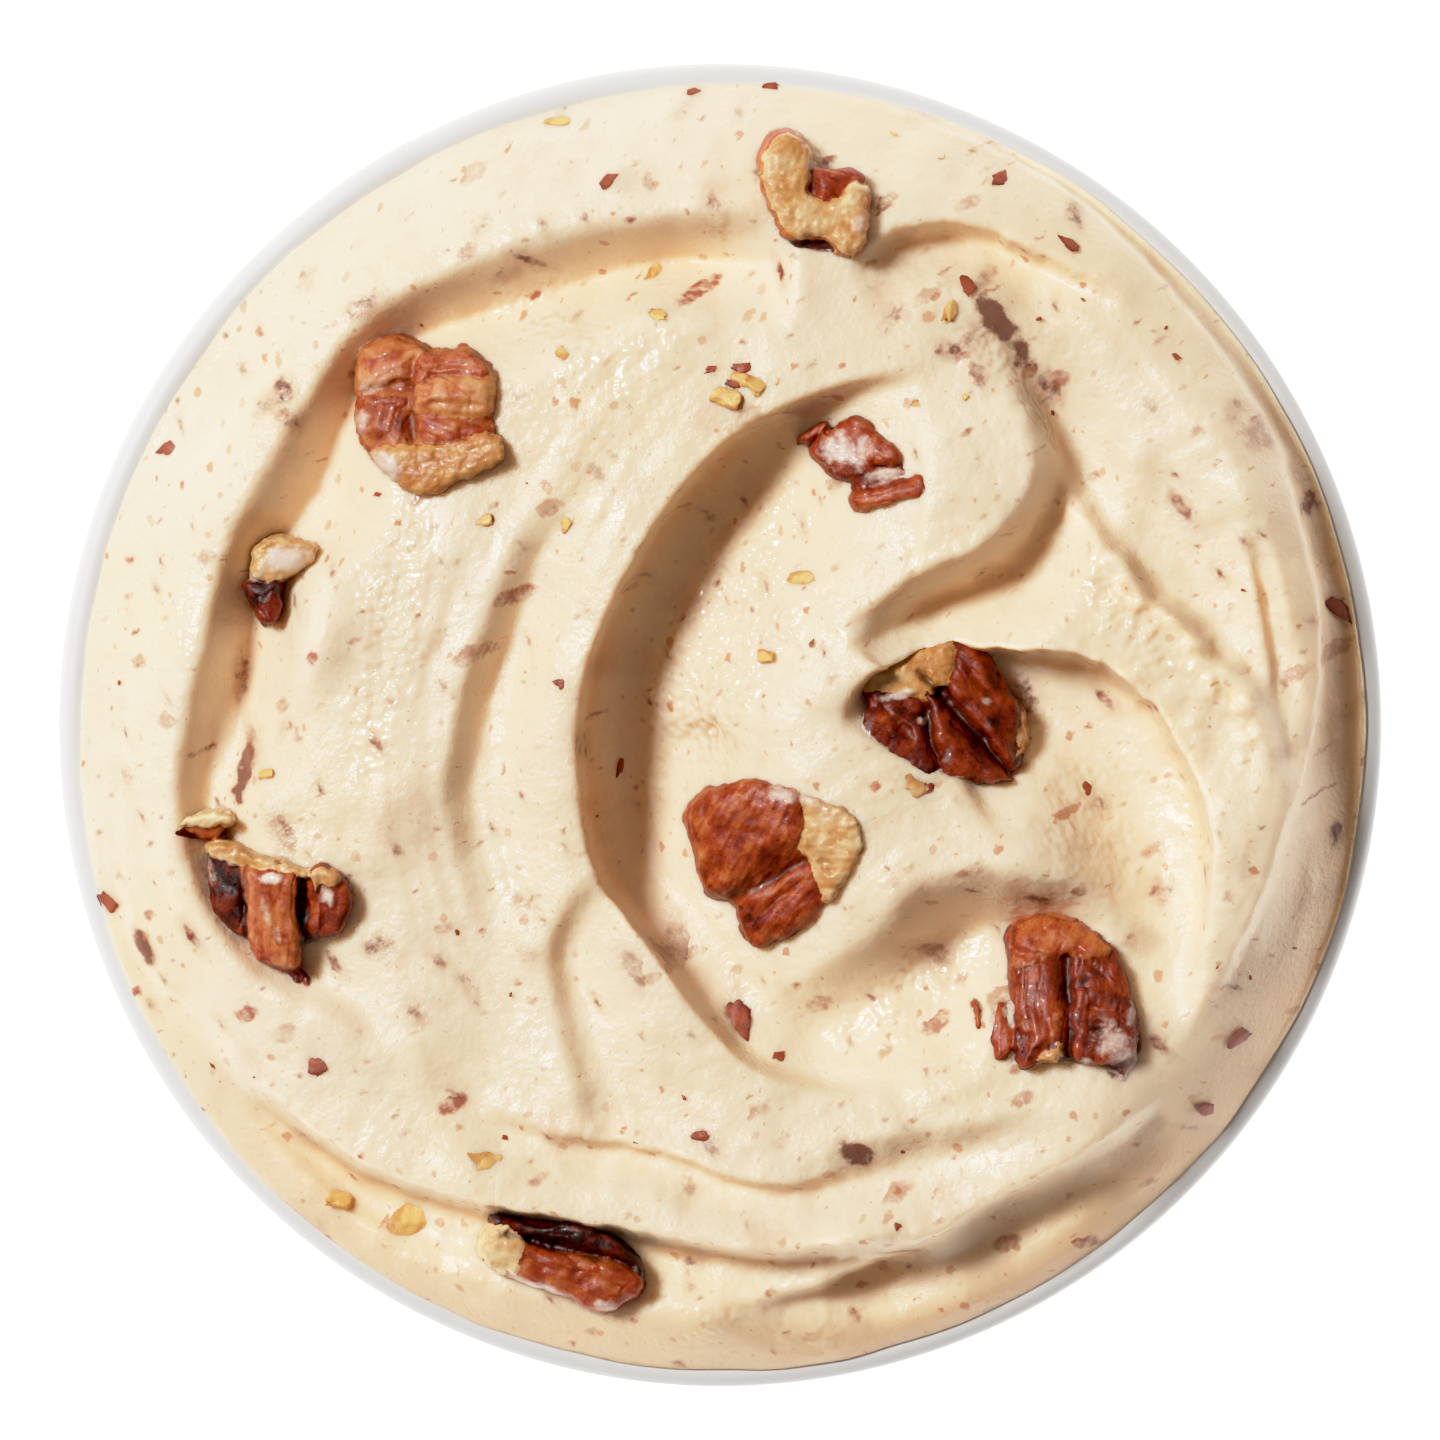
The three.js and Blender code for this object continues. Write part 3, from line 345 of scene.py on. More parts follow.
                (4.9, -1.6), (4, -2.4), (2.4, -2.5), (2.2, 0)]),
            broken(2.85, 0.55, outline=[(2.5, 2), (3.8, 2.3), (4.5, 1.5), (3.9, 1), (3, 1.3), (2.7, 0.5)]),
            skinned(0.6, 0.3, 60, outline=[(0.6, -5), (1.1, -5), (1.5, -5.9), (1.2, -6.1)]),
            skinned(0.6, 0.3, 70, outline=[(1.5, -5), (1.8, -5.2), (2.1, -6.4), (1.7, -6.4)]),
            broken(1.0, 0.85, slope=(0, 0.1), outline=[(-6.8, 5.7), (-4.6, 6.2), (-3.4, 6), (-3.5, 5.5),
                (-5, 5.3), (-6.6, 5.3)]),
            skinned(0.9, 0.5, 0, outline=[(-6.8, 5.5), (-4, 5.5), (-4.2, 4.7), (-5.2, 4.3), (-6.3, 4.7)])],
        creases=[(-2.4, 2.1, -2.3, -2.4, 0.3, 0.44), (-0.4, 1, 0.2, -4.2, 0.2, 0.17),
            (3.1, 1.6, 3.4, -2, 0.25, 0.22)],
        films=[(-0.4, 1.6, 0.9, 0.5, 10, 1.0), (-0.9, -0.8, 1.4, 0.4, -70, 0.6),
            (0, -2.6, 1.1, 0.4, -75, 0.5), (3.6, 0.3, 1.1, 0.6, -60, 0.85), (-4.9, 2, 0.4, 1.6, 5, 0.5)]),
    "pecan_bottom": dict(
        x=-11, y=-38.7, rise=0.1,
        lobes=[
            skinned(2.0, 0.1, -18, outline=[(-5.8, 1.4), (-4.8, 2.8), (-2, 2.6), (1.4, 2.3), (4.4, 0.4),
                (5.4, -1.6), (4.2, -2.8), (2.2, -3.2), (-2, -1.6), (-5.6, 0)]),
            skinned(2.9, 0.5, -18, slope=(0, 0.05), outline=[(-5.8, 1.6), (-4.6, 2.4), (-3.2, 1.6), (-1, 1),
                (1.6, 0.4), (4.2, -0.3), (5.5, -1.7), (4.4, -2.8), (2.4, -3.4), (0, -2.4), (-2, -1.6),
                (-4, -0.9), (-5.8, 0.2)]),
            skinned(2.3, 0.0, -18, slope=(0, 0.1), outline=[(-5.2, 3.2), (-2.6, 2.7), (-0.6, 2.9),
                (1.4, 2.5), (3.4, 1.6), (4.7, 0.3), (5.3, -1), (4, -0.2), (1, 0.7), (-2, 1.4),
                (-4.4, 2.3)]),
            broken(3.3, 0.8, slope=(0.05, 0), outline=[(-6, 1.4), (-5.1, 2.6), (-3.7, 2.2), (-3.1, 0.9),
                (-3.4, -0.6), (-4.6, -0.7), (-6, 0.2)])],
        creases=[(-4.2, 2, 4.6, -0.3, 0.35, 0.55), (-3, 0.2, 3.6, -1.6, 0.25, 0.17)],
        films=[(-2.5, -1.7, 3, 0.7, -20, 0.9), (2.6, -3.1, 1.6, 0.5, -10, 0.7),
            (-1.8, 0.2, 0.6, 0.4, 0, 0.4)]),
    "pecan_left_small": dict(
        x=-32, y=10.6, rise=0.1,
        lobes=[
            broken(1.5, 0.65, slope=(-0.15, 0.1), outline=[(-1.7, 1.2), (-1.2, 2.4), (0.2, 2.9), (2, 2.6),
                (2.9, 2.3), (2.4, 1.2), (1.3, 0.4), (0.2, -0.2), (-1.4, -0.1)]),
            skinned(1.5, 0.2, -70, outline=[(-2.1, -0.3), (-0.6, -0.2), (0.3, -0.5), (0.1, -2.6),
                (-0.4, -3.2), (-1.2, -2.9), (-1.9, -1.6)])],
        creases=[(-1.2, 2, 2.2, 2, 0.2, 0.17)],
        films=[(0.6, 1.5, 2.2, 1.1, 5, 1.0), (-1.4, 0.2, 0.9, 0.5, 40, 0.8),
            (1.8, 0.8, 0.9, 0.6, 0, 0.8)]),
    "pecan_on_lobe": dict(
        x=10.5, y=18.8, rise=0,
        lobes=[
            skinned(0.9, 0.35, -30, outline=[(-3.9, 1.2), (-2.4, 2.5), (-0.6, 3.3), (1, 1.8), (2.2, 0.4),
                (3.6, -0.8), (4.2, -2), (2, -2.6), (-0.6, -3), (-0.8, -1.2), (-3, 0)]),
            skinned(1.3, 0.4, -30, outline=[(-3.9, 1.2), (-2.4, 2.5), (-1.4, 3.2), (-0.6, 3.4), (0.6, 2.4),
                (1.2, 1.4), (0.6, -0.4), (-0.6, -1.2), (-2.2, -1), (-3.2, 0.1)]),
            skinned(1.1, 0.42, 35, outline=[(-4.8, 1.7), (-3.2, 3.1), (-2.7, 3), (-3.2, 2.3), (-4.4, 1.55)]),
            skinned(1.9, 0.42, -50, outline=[(0.4, 1.9), (1.2, 1.8), (2.4, 0.5), (1.9, -0.1), (0.5, 0.2),
                (0.2, 1)]),
            skinned(1.8, 0.5, 15, outline=[(-0.9, -2.3), (1, -1.8), (2.8, -1.3), (3.6, -0.7), (4.3, -1),
                (4.2, -2.2), (2.4, -2.6), (0.6, -3.2), (-0.4, -3.5), (-0.9, -3)]),
            skinned(1.1, 0.4, 0, outline=[(-0.3, -0.3), (2.2, 0), (3.4, -0.8), (1, -1.9), (-0.7, -1.9)])],
        creases=[(-0.9, -1.6, 2.4, -0.9, 0.3, 0.22)],
        films=[(-1.6, 0.9, 2.3, 1.8, -30, 0.8), (1.3, -0.8, 1.9, 0.7, 15, 0.8),
            (-0.2, 1.2, 0.9, 1.2, 0, 0.7)]),
}
NUT_DEPTH = 2.4
NUT_SIDE_SLOPE = 9.0
NUT_MARGIN = 1.8

# Edges of the lobes: how far and how often their outline wanders, and how wide and deep it is rounded
EDGES = {"skin": (0.16, 0.9, 1.0, 0.45), "flesh": (0.17, 0.6, 0.8, 0.35)}

# Crumbs that lie on the cream: x, y, length, width, turn in degrees
FLESH_CRUMBS = [
    (0.6, 23.5, 2.7, 1.9, 20), (2.7, 24.3, 2.3, 1.6, -30), (4.6, 25.1, 1.7, 1.3, 60),
    (1.4, 24.9, 1.7, 1.1, -10), (-16.2, -31.9, 2.9, 2.4, 10), (-22.4, -36.1, 3.2, 2.6, 60),
    (-27.4, -34.3, 2.2, 1.6, 20), (-11.4, 43.7, 2.6, 1.1, 5), (-10.9, 27.4, 2.0, 1.2, 40),
    (-4.6, 29.6, 1.3, 0.9, 0), (-4.5, 33, 1.8, 1.1, 70), (5.8, 10.5, 1.8, 1.1, 15),
    (-17, 14.7, 1.9, 1.2, 50), (-11, 14.5, 1.5, 1.0, 80), (-21.9, 1.6, 1.7, 1.0, 0),
    (-24.2, -3.7, 1.4, 0.9, 30), (16.7, 30, 1.8, 1.1, 80), (14.3, 22.9, 1.2, 0.9, 10),
    (-32.7, -3.5, 1.4, 0.9, 45),
]
SKIN_CRUMBS = [
    (-7.2, -3, 1.6, 0.5, 80), (-9.3, -9, 1.7, 1.1, 70), (1.2, -21.8, 3.3, 1.8, 80),
    (4.3, -23.9, 1.3, 0.8, 20), (-4, -14.7, 1.8, 1.0, 30), (-1.2, -29.6, 1.7, 1.0, 0),
    (26.5, -4.5, 1.8, 1.1, 60), (-44.2, -13, 2.0, 1.2, -60), (-29.5, -24.3, 2.2, 1.4, -30),
    (-33, -25, 1.3, 0.9, 0), (45.2, 8.3, 2.4, 1.3, -50), (37.5, -22.6, 2.0, 1.2, 40),
    (35.1, -27.8, 1.6, 1.0, 0), (20.4, 39.6, 1.4, 1.2, 0), (25.2, 34.8, 1.5, 0.7, -50),
    (26.4, 30.2, 1.7, 0.9, -50), (-8, 39.5, 1.5, 1.0, 30), (3.7, 46.2, 1.2, 0.8, 0),
    (-40, 20, 1.5, 0.9, 40), (1.5, 25.7, 1.2, 0.7, -20), (-37.3, -7.4, 3.0, 1.6, -10),
    (18.6, -20.9, 1.9, 0.5, 85), (-1.8, 46, 1.0, 0.6, 0), (17.8, 31.6, 1.6, 1.2, -60),
    (1.7, 25.6, 1.5, 0.8, 15), (1.1, 24.5, 1.3, 0.7, -25), (3.4, 25.5, 1.0, 0.6, 30),
    (-0.6, 25.6, 1.1, 0.5, 10),
]


# Where the random unevenness of each thing starts
SEEDS = dict(
    wall=3, rim=5, cream_edge=8, streaks=7, bands=17, patches=9, crest=40, depth=60, width=90,
    small_lumps=140, outline=200, meeting=300, crease=31, lines=20, wrinkles=50, lumps=60,
    fine_lumps=70, grain=80, films=95, touch=90, tone=77)

# Relief of the cream between its strokes: height, distance between the hills, seed, octaves
RELIEF = [(0.42, 8, 1, 1), (0.16, 3.6, 2, 2), (0.05, 1.1, 3, 2), (0.015, 0.8, 4, 1)]
WET_RELIEF = (0.035, 0.8, 4, 1)
STREAK_HEIGHT = 0.08


def smooth(start, end, value):
    """Rises softly from 0 at start to 1 at end."""
    t = np.clip((value - start) / (end - start), 0, 1)
    return t * t * (3 - 2 * t)


def lattice(cell, seed):
    """A repeatable random value from -1 to 1 at each whole-number place."""
    n = (cell.astype(np.int64) & 0xFFFFFFFF).astype(np.uint64)
    h = n[..., 0] * 73856093 ^ n[..., 1] * 19349663 ^ n[..., 2] * 83492791 ^ np.uint64(seed * 2654435 + 97)
    h = (h ^ (h >> np.uint64(13))) * np.uint64(1274126177) & np.uint64(0xFFFFFFFF)
    h = (h ^ (h >> np.uint64(16))) * np.uint64(2246822519) & np.uint64(0xFFFFFFFF)
    return (h >> np.uint64(8)).astype(float) / 8388607.5 - 1


def noise(x, y, z, size, seed, octaves=1):
    """Soft random hills from about -1 to 1, one every size or so."""
    total = np.zeros(np.broadcast(x, y, z).shape)
    for octave in range(octaves):
        place = np.stack(np.broadcast_arrays(x, y, z), -1) / size * 2**octave + 0.37 * seed
        low = np.floor(place)
        t = place - low
        t = t * t * t * (t * (6 * t - 15) + 10)
        for corner in np.ndindex(2, 2, 2):
            share = np.prod(np.where(corner, t, 1 - t), -1)
            total += share * lattice(low + corner, seed + octave) / 2**octave
    return total


def hills(x, y, size, seed, octaves=1):
    """Soft random hills on a slanted section of the noise, so that none lines up with the axes."""
    return noise(0.84 * x - 0.37 * y, 0.31 * x + 0.85 * y, 0.44 * x + 0.37 * y, size, seed, octaves)


def curve(points, spacing, closed=False):
    """A smooth line through points, as many short straight steps."""
    p = np.array(points, float)
    if closed:
        p = np.vstack([p[-1], p, p[0], p[1]])
    else:
        p = np.vstack([2 * p[0] - p[1], p, 2 * p[-1] - p[-2]])
    line = []
    for a, b, c, d in zip(p, p[1:], p[2:], p[3:]):
        steps = math.ceil(np.hypot(*(c - b)) / spacing)
        t = (np.arange(steps) / steps)[:, None]
        bend = (2 * a - 5 * b + 4 * c - d) * t**2 + (3 * b - a - 3 * c + d) * t**3
        line.append(0.5 * (2 * b + (c - a) * t + bend))
    return np.vstack([*line, p[-2:-1]])


def crest_line(stroke):
    """Points along a stroke's crest: x, y, strength there, and the length so far."""
    points = curve(stroke["path"], STROKE_STEP)
    along = np.concatenate([[0], np.cumsum(np.hypot(*np.diff(points, axis=0).T))])
    strength = smooth(0, stroke["start"], along) * smooth(0, stroke["end"], along[-1] - along)
    return np.column_stack([points, strength, along])


def outside_ellipse(x, y, middle_x, middle_y, length, width, turn):
    """0 in the middle of a turned ellipse, 1 on its line and more outside."""
    c, s = math.cos(math.radians(turn)), math.sin(math.radians(turn))
    u, v = (x - middle_x) * c + (y - middle_y) * s, (y - middle_y) * c - (x - middle_x) * s
    return np.hypot(u / length, v / width)


def inside_distance(x, y, line):
    """Distance from a closed line, positive inside it."""
    best, crossings = np.full(x.shape, np.inf), np.zeros(x.shape, int)
    for (ax, ay), (bx, by) in zip(line[:-1], line[1:]):
        ux, uy = bx - ax, by - ay
        t = np.clip(((x - ax) * ux + (y - ay) * uy) / max(ux**2 + uy**2, 1e-12), 0, 1)
        best = np.minimum(best, (x - ax - t * ux) ** 2 + (y - ay - t * uy) ** 2)
        if by != ay:
            crossings += ((ay > y) != (by > y)) & (x < ax + (y - ay) * ux / uy)
    return np.where(crossings % 2, 1, -1) * np.sqrt(best)


def near_crest(x, y, line):
    """For each place: signed distance from the crest, strength, length along it, way across it."""
    best = np.full(x.shape, np.inf)
    found = np.zeros((5, *x.shape))
    for (ax, ay, ak, al), (bx, by, bk, bl) in zip(line[:-1], line[1:]):
        ux, uy = bx - ax, by - ay
        size = math.hypot(ux, uy)
        t = np.clip(((x - ax) * ux + (y - ay) * uy) / size**2, 0, 1)
        away = np.hypot(x - ax - t * ux, y - ay - t * uy)
        side = np.where(ux * (y - ay) - uy * (x - ax) < 0, -1.0, 1.0)
        here = np.stack([away * side, ak + (bk - ak) * t, al + (bl - al) * t,
                         np.full(x.shape, -uy / size), np.full(x.shape, ux / size)])
        closer = away < best
        best = np.where(closer, away, best)
        found = np.where(closer, here, found)
    total, marks = np.zeros(x.shape), np.zeros(x.shape)
    spread = 0.25 + 0.22 * best
    for px, py, pk, _ in line[::2]:
        weight = np.exp(-np.maximum(np.hypot(x - px, y - py) - best, 0) / spread)
        total += weight
        marks += weight * pk
    distance, strength, along, across_x, across_y = found
    return distance, marks / total * smooth(0, 0.25, strength), along, across_x, across_y


# From the side where the dome is steepest round to the side where it shades its own edge
SHADE_TURN = math.radians(27)


def cream_reach(way):
    """Radius in mm at which the cream ends on the rim in each direction."""
    sizes = bpy.context.scene.ice_cream
    left = smooth(0.2, 1, -np.cos(way + math.radians(45)))
    waves = noise(np.cos(way), np.sin(way), 0, size=0.14, seed=SEEDS["cream_edge"], octaves=2)
    wobble = np.clip(0.5 + 0.5 * waves, 0, 1)
    return (sizes.reach - sizes.left_gap * left - sizes.wobble * wobble) / MM


def cream_edge(x, y):
    """How far out each place lies, 1 at the rim, and the height of the cream's edge there."""
    bead = bpy.context.scene.ice_cream_tub.bead_radius / MM
    reach = cream_reach(np.arctan2(y, x))
    out = np.clip(np.hypot(x, y) / reach, 0, 1)
    drop = bead - np.sqrt(bead**2 - (reach - RIM_RADIUS + bead) ** 2)
    return out, (TUB_HIGH.z - bpy.context.scene.ice_cream.edge_drop) / MM - drop * smooth(0.85, 1, out)


def cream_dome(x, y):
    """The low dome that the strokes were drawn in."""
    sizes = bpy.context.scene.ice_cream
    way = np.arctan2(y, x)
    steep = 0.5 + 0.5 * np.cos(way - sizes.steep_side)
    low = 0.5 + 0.5 * np.cos(way - sizes.low_side)
    rise = sizes.dome_rise / MM - 1.6 * low**3
    out, edge = cream_edge(x, y)
    return edge + rise * (1 - out ** (4.6 + 7.5 * steep))


def draw_stroke(stroke, number, line, x, y, inward, rough):
    """What one stroke does at places near it: rise, lean along x and y, crispness and streaks."""
    distance, strength, along, across_x, across_y = near_crest(x, y, line)
    distance = distance * stroke["side"]
    wander = noise(along, distance * 0.25, 0, size=1.6, seed=SEEDS["crest"] + number, octaves=2)
    distance = distance + rough * stroke["rough"] * wander
    away = np.abs(distance)
    deeper = 1 + stroke["uneven"] * noise(along, 0, 0, size=9, seed=SEEDS["depth"] + number)
    wider = 1 + stroke["uneven"] * noise(along, 0, 0, size=7, seed=SEEDS["width"] + number)
    wall, tail, share, base = stroke["wall"] * wider, stroke["tail"] * wider, stroke["share"], stroke["base"]

    lip = np.exp(-((away / np.where(distance < 0, stroke["out"], stroke["inn"])) ** 1.6))
    spread = stroke.get("spread", 3 * wall)
    fall = (1 - share) * smooth(0, wall, away) + share * smooth(0.3 * wall, spread, away)
    fall += base * (1 - np.sqrt(1 - np.clip(away / wall, 0, 1) ** 2) - fall)
    hollow = np.where(distance > 0, fall * (1 - smooth(0.9 * wall, tail, away)), 0)
    hollow *= smooth(0, stroke["rim"], inward)
    rise = strength * (stroke["lip"] * lip - stroke["depth"] * deeper * hollow)
    lumps = noise(x, y, 0, size=1.1, seed=SEEDS["small_lumps"] + number, octaves=2)
    lumps = np.maximum(lumps - 0.15, 0) * rough
    rise += stroke["crumbs"] * strength * lumps * np.exp(-(((distance + 0.8) / 1.7) ** 2))

    lean = stroke["curl"] * stroke["side"] * strength * np.exp(-((distance + 0.2) ** 2))
    top = np.exp(-((away / (1.0 + 0.5 * wall)) ** 2)) * (1 - smooth(1.8, 3.2, stroke["wall"]))
    foot = base * np.exp(-(((distance - wall) / 0.9) ** 2))
    drawn = strength * (1 - smooth(0.6 * tail, tail, away))
    streaks = drawn * noise(distance, along / 14, number, size=0.9, seed=SEEDS["streaks"], octaves=2)
    streaks += drawn * 1.8 * noise(distance, along / 6, number, size=2.8, seed=SEEDS["bands"])
    return rise, lean * across_x, lean * across_y, strength * np.maximum(top, foot), streaks


def cream_form(x, y, rough=0.0):
    """Height of the cream, lean of its lips, how crisp it is, and the spoon's streaks."""
    z = cream_dome(x, y)
    out, edge = cream_edge(x, y)
    inward = (1 - out) * bpy.context.scene.ice_cream.reach / MM
    lean_x, lean_y, crisp, streaks = (np.zeros(x.shape) for _ in range(4))
    for number, row in enumerate(STROKES.values()):
        stroke = {**USUAL_STROKE, **row}
        line = crest_line(stroke)
        reach = max(1.2 * stroke["tail"], 2.5 * stroke["out"])
        close = (x > line[:, 0].min() - reach) & (x < line[:, 0].max() + reach)
        close &= (y > line[:, 1].min() - reach) & (y < line[:, 1].max() + reach)
        if not close.any():
            continue
        drawn = draw_stroke(stroke, number, line, x[close], y[close], inward[close], rough)
        for whole, part in zip((z, lean_x, lean_y, streaks), (*drawn[:3], drawn[4])):
            whole[close] += part
        crisp[close] = np.maximum(crisp[close], drawn[3])
    for swell_x, swell_y, half_length, half_width, turn, height in SWELLINGS:
        z += height * np.exp(-outside_ellipse(x, y, swell_x, swell_y, half_length, half_width, turn) ** 2)
    lowest = edge - 0.05 + 0.6 * np.minimum(inward, 2.5) - 1.3 * np.maximum(inward - 2.5, 0)
    z = lowest + 0.4 * np.logaddexp(0, (z - lowest) / 0.4)
    return z, lean_x, lean_y, crisp, streaks


def cream_height(x, y):
    """Height of the cream at one place or many, in mm."""
    z = cream_form(np.atleast_1d(np.asarray(x, float)), np.atleast_1d(np.asarray(y, float)))[0]
    return z if np.ndim(x) else float(z[0])


def start_clean():
    """Object mode with nothing selected."""
    if bpy.context.mode != "OBJECT":
        bpy.ops.object.mode_set(mode="OBJECT")
    bpy.ops.object.select_all(action="DESELECT")


def only(piece):
    """Makes a piece the one selected and active object."""
    start_clean()
    piece.select_set(True)
    bpy.context.view_layer.objects.active = piece


@contextmanager
def editing():
    """Edit mode for the lines inside, and object mode after them."""
    bpy.ops.object.mode_set(mode="EDIT")
    yield
    bpy.ops.object.mode_set(mode="OBJECT")


def values_of(piece, name):
    """Three numbers for each vertex, such as its place or its normal."""
    values = np.zeros(len(piece.data.vertices) * 3, np.float32)
    piece.data.vertices.foreach_get(name, values)
    return values.reshape(-1, 3).astype(float)


def points_of(piece):
    return values_of(piece, "co")


def move_points(piece, points):
    piece.data.vertices.foreach_set("co", np.asarray(points, np.float32).ravel())
    piece.data.update()


def set_attribute(piece, name, values):
    attribute = piece.data.attributes.new(name, "FLOAT", "POINT")
    attribute.data.foreach_set("value", np.asarray(values, np.float32))


def apply_modifier(piece, kind, **settings):
    only(piece)
    modifier = piece.modifiers.new(kind.title(), kind)
    for name, value in settings.items():
        setattr(modifier, name, value)
    bpy.ops.object.modifier_apply(modifier=modifier.name)


def finish_piece(piece, name, material, slot, *nodes):
    """Names a piece, makes its millimetres metres and puts it on the frame."""
    only(piece)
    piece.name = piece.data.name = name
    piece.scale = (MM, MM, MM)
    bpy.ops.object.transform_apply(location=True, rotation=True, scale=True)
    bpy.ops.object.shade_smooth()
    piece.data.materials.clear()
    piece.data.materials.append(material)
    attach(piece, "root")
    if nodes:
        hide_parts(*nodes)
    return piece


def opaque(colour):
    """Red, green and blue with full cover."""
    return (*colour[:3], 1)


def shade(colour, share):
    """A colour with a share of its light."""
    return [part * share for part in colour[:3]]


# A step in a mask is a slope this steep
STEEP = 1000


class Wire:
    """A shader socket that does sums: an expression on wires adds its Math nodes."""

    def __init__(self, shader, socket):
        self.shader = shader
        self.socket = socket

    def sum(self, operation, *values, clamp=False):
        sockets = dict(enumerate(values))
        return self.shader.wire("ShaderNodeMath", {"operation": operation, "use_clamp": clamp}, sockets)

    def __add__(self, other):
        return self.sum("ADD", self, other)

    def __mul__(self, other):
        return self.sum("MULTIPLY", self, other)

    def __sub__(self, other):
        return self.sum("SUBTRACT", self, other)

    def __rsub__(self, other):
        return self.sum("SUBTRACT", other, self)

    def __truediv__(self, other):
        return self.sum("DIVIDE", self, other)

    def __pow__(self, other):
        return self.sum("POWER", self, other)

    __radd__ = __add__
    __rmul__ = __mul__

    def clamp(self):
        return self.sum("ADD", self, 0, clamp=True)

    def between(self, start, end):
        """0 below start, 1 above end and soft between."""
        return self.shader.wire("ShaderNodeMapRange", {"interpolation_type": "SMOOTHSTEP"},
                                {"Value": self, "From Min": start, "From Max": end})


class Shader:
    """One material and the nodes in it, with places in mm."""

    def __init__(self, name):
        self.material = bpy.data.materials.new(name)
        self.material.use_nodes = True
        self.tree = self.material.node_tree
        self.tree.nodes.clear()
        place = self.wire("ShaderNodeTexCoord", output="Object")
        self.place = self.wire("ShaderNodeVectorMath", {"operation": "SCALE"}, {0: place, "Scale": 1 / MM})

    def node(self, kind, settings=None, sockets=None):
        """A node of a type, its settings, and the values or wires of its sockets."""
        node = self.tree.nodes.new(kind)
        for name, value in (settings or {}).items():
            if name == "stops":
                ramp = node.color_ramp
                for stop, (position, colour) in zip([*ramp.elements], value):
                    stop.position, stop.color = position, opaque(colour)
                for position, colour in value[2:]:
                    ramp.elements.new(position).color = opaque(colour)
            else:
                setattr(node, name, value)
        for name, value in (sockets or {}).items():
            if isinstance(value, Wire):
                self.tree.links.new(value.socket, node.inputs[name])
            else:
                node.inputs[name].default_value = value
        return node

    def wire(self, kind, settings=None, sockets=None, output=0):
        return Wire(self, self.node(kind, settings, sockets).outputs[output])

    def attribute(self, name):
        return self.wire("ShaderNodeAttribute", {"attribute_name": name}, output="Fac")

    def noise(self, size, detail=2.0, roughness=0.5, vector=None):
        """Noise with hills about size mm apart, from 0 to 1."""
        return self.wire("ShaderNodeTexNoise", {}, {
            "Vector": vector or self.place, "Scale": 1 / size, "Detail": detail, "Roughness": roughness})

    def stretched(self, x, y, z):
        """The place with each axis stretched."""
        return self.wire("ShaderNodeVectorMath", {"operation": "MULTIPLY"}, {0: self.place, 1: (x, y, z)})

    def ragged(self, size, *amounts):
        """The place seen slantwise from above, pushed to and fro by up to about half of each amount in mm."""
        height = self.wire(
            "ShaderNodeVectorMath", {"operation": "DOT_PRODUCT"},
            {0: self.place, 1: (0, 0, 1)}, output="Value")
        slant = self.wire("ShaderNodeCombineXYZ", {}, {"X": height * 0.6, "Y": height * 0.35})
        place = self.wire("ShaderNodeVectorMath", {"operation": "ADD"}, {0: self.place, 1: slant})
        push = self.wire(
            "ShaderNodeTexNoise", {}, {"Vector": self.place, "Scale": 1 / size, "Detail": 1}, output="Color")
        return [self.wire("ShaderNodeVectorMath", {"operation": "MULTIPLY_ADD"}, {
            0: push, 1: (amount, amount, 0), 2: place}) for amount in amounts]

    def flakes(self, place, cell, share, size, turn=0, stretch=1, soft=0.3):
        """Scattered flakes: share of the cells, each cell mm wide, hold one about size mm wide.

        Most flakes are small and a few are over twice the size. stretch makes them longer in the
        way of turn, in degrees, and soft blurs their edges.
        """
        turned = self.wire("ShaderNodeMapping", {"vector_type": "TEXTURE"}, {
            "Vector": place, "Rotation": (0, 0, math.radians(turn)), "Scale": (stretch, 1, 1)})
        cells = self.node(
            "ShaderNodeTexVoronoi", {"voronoi_dimensions": "2D"}, {"Vector": turned, "Scale": 1 / cell})
        parts = self.node("ShaderNodeSeparateColor", {}, {"Color": Wire(self, cells.outputs["Color"])})
        chance, bulk, force = (Wire(self, parts.outputs[name]) for name in ("Red", "Green", "Blue"))
        radius = (bulk ** 6 * 2.2 + 0.45) * (0.5 * size / cell)
        inside = ((radius - Wire(self, cells.outputs["Distance"])) / (0.5 * soft * size / cell) + 0.5).clamp()
        chosen = ((share - chance) * STEEP).clamp()
        return inside * chosen * (force * 0.6 + 0.4)

    def mix(self, share, first, second):
        """First colour where share is 0, second where it is 1."""
        first, second = (end if isinstance(end, Wire) else opaque(end) for end in (first, second))
        return self.wire("ShaderNodeMix", {"data_type": "RGBA"}, {0: share, 6: first, 7: second}, output=2)

    def bump(self, height, distance, strength):
        return self.wire(
            "ShaderNodeBump", {}, {"Height": height, "Distance": distance * MM, "Strength": strength})

    def finish(self, **sockets):
        """The surface from the values or wires of its sockets."""
        named = {name.replace("_", " "): value for name, value in sockets.items()}
        surface = self.wire("ShaderNodeBsdfPrincipled", {"subsurface_method": "BURLEY"}, named)
        self.node("ShaderNodeOutputMaterial", {}, {"Surface": surface})
        return self.material


def linear(red, green, blue):
    """A colour as seen on a screen, 0 to 255 each, as light."""
    def light(value):
        value /= 255
        return value / 12.92 if value <= 0.04045 else ((value + 0.055) / 1.055) ** 2.4
    return light(red), light(green), light(blue)


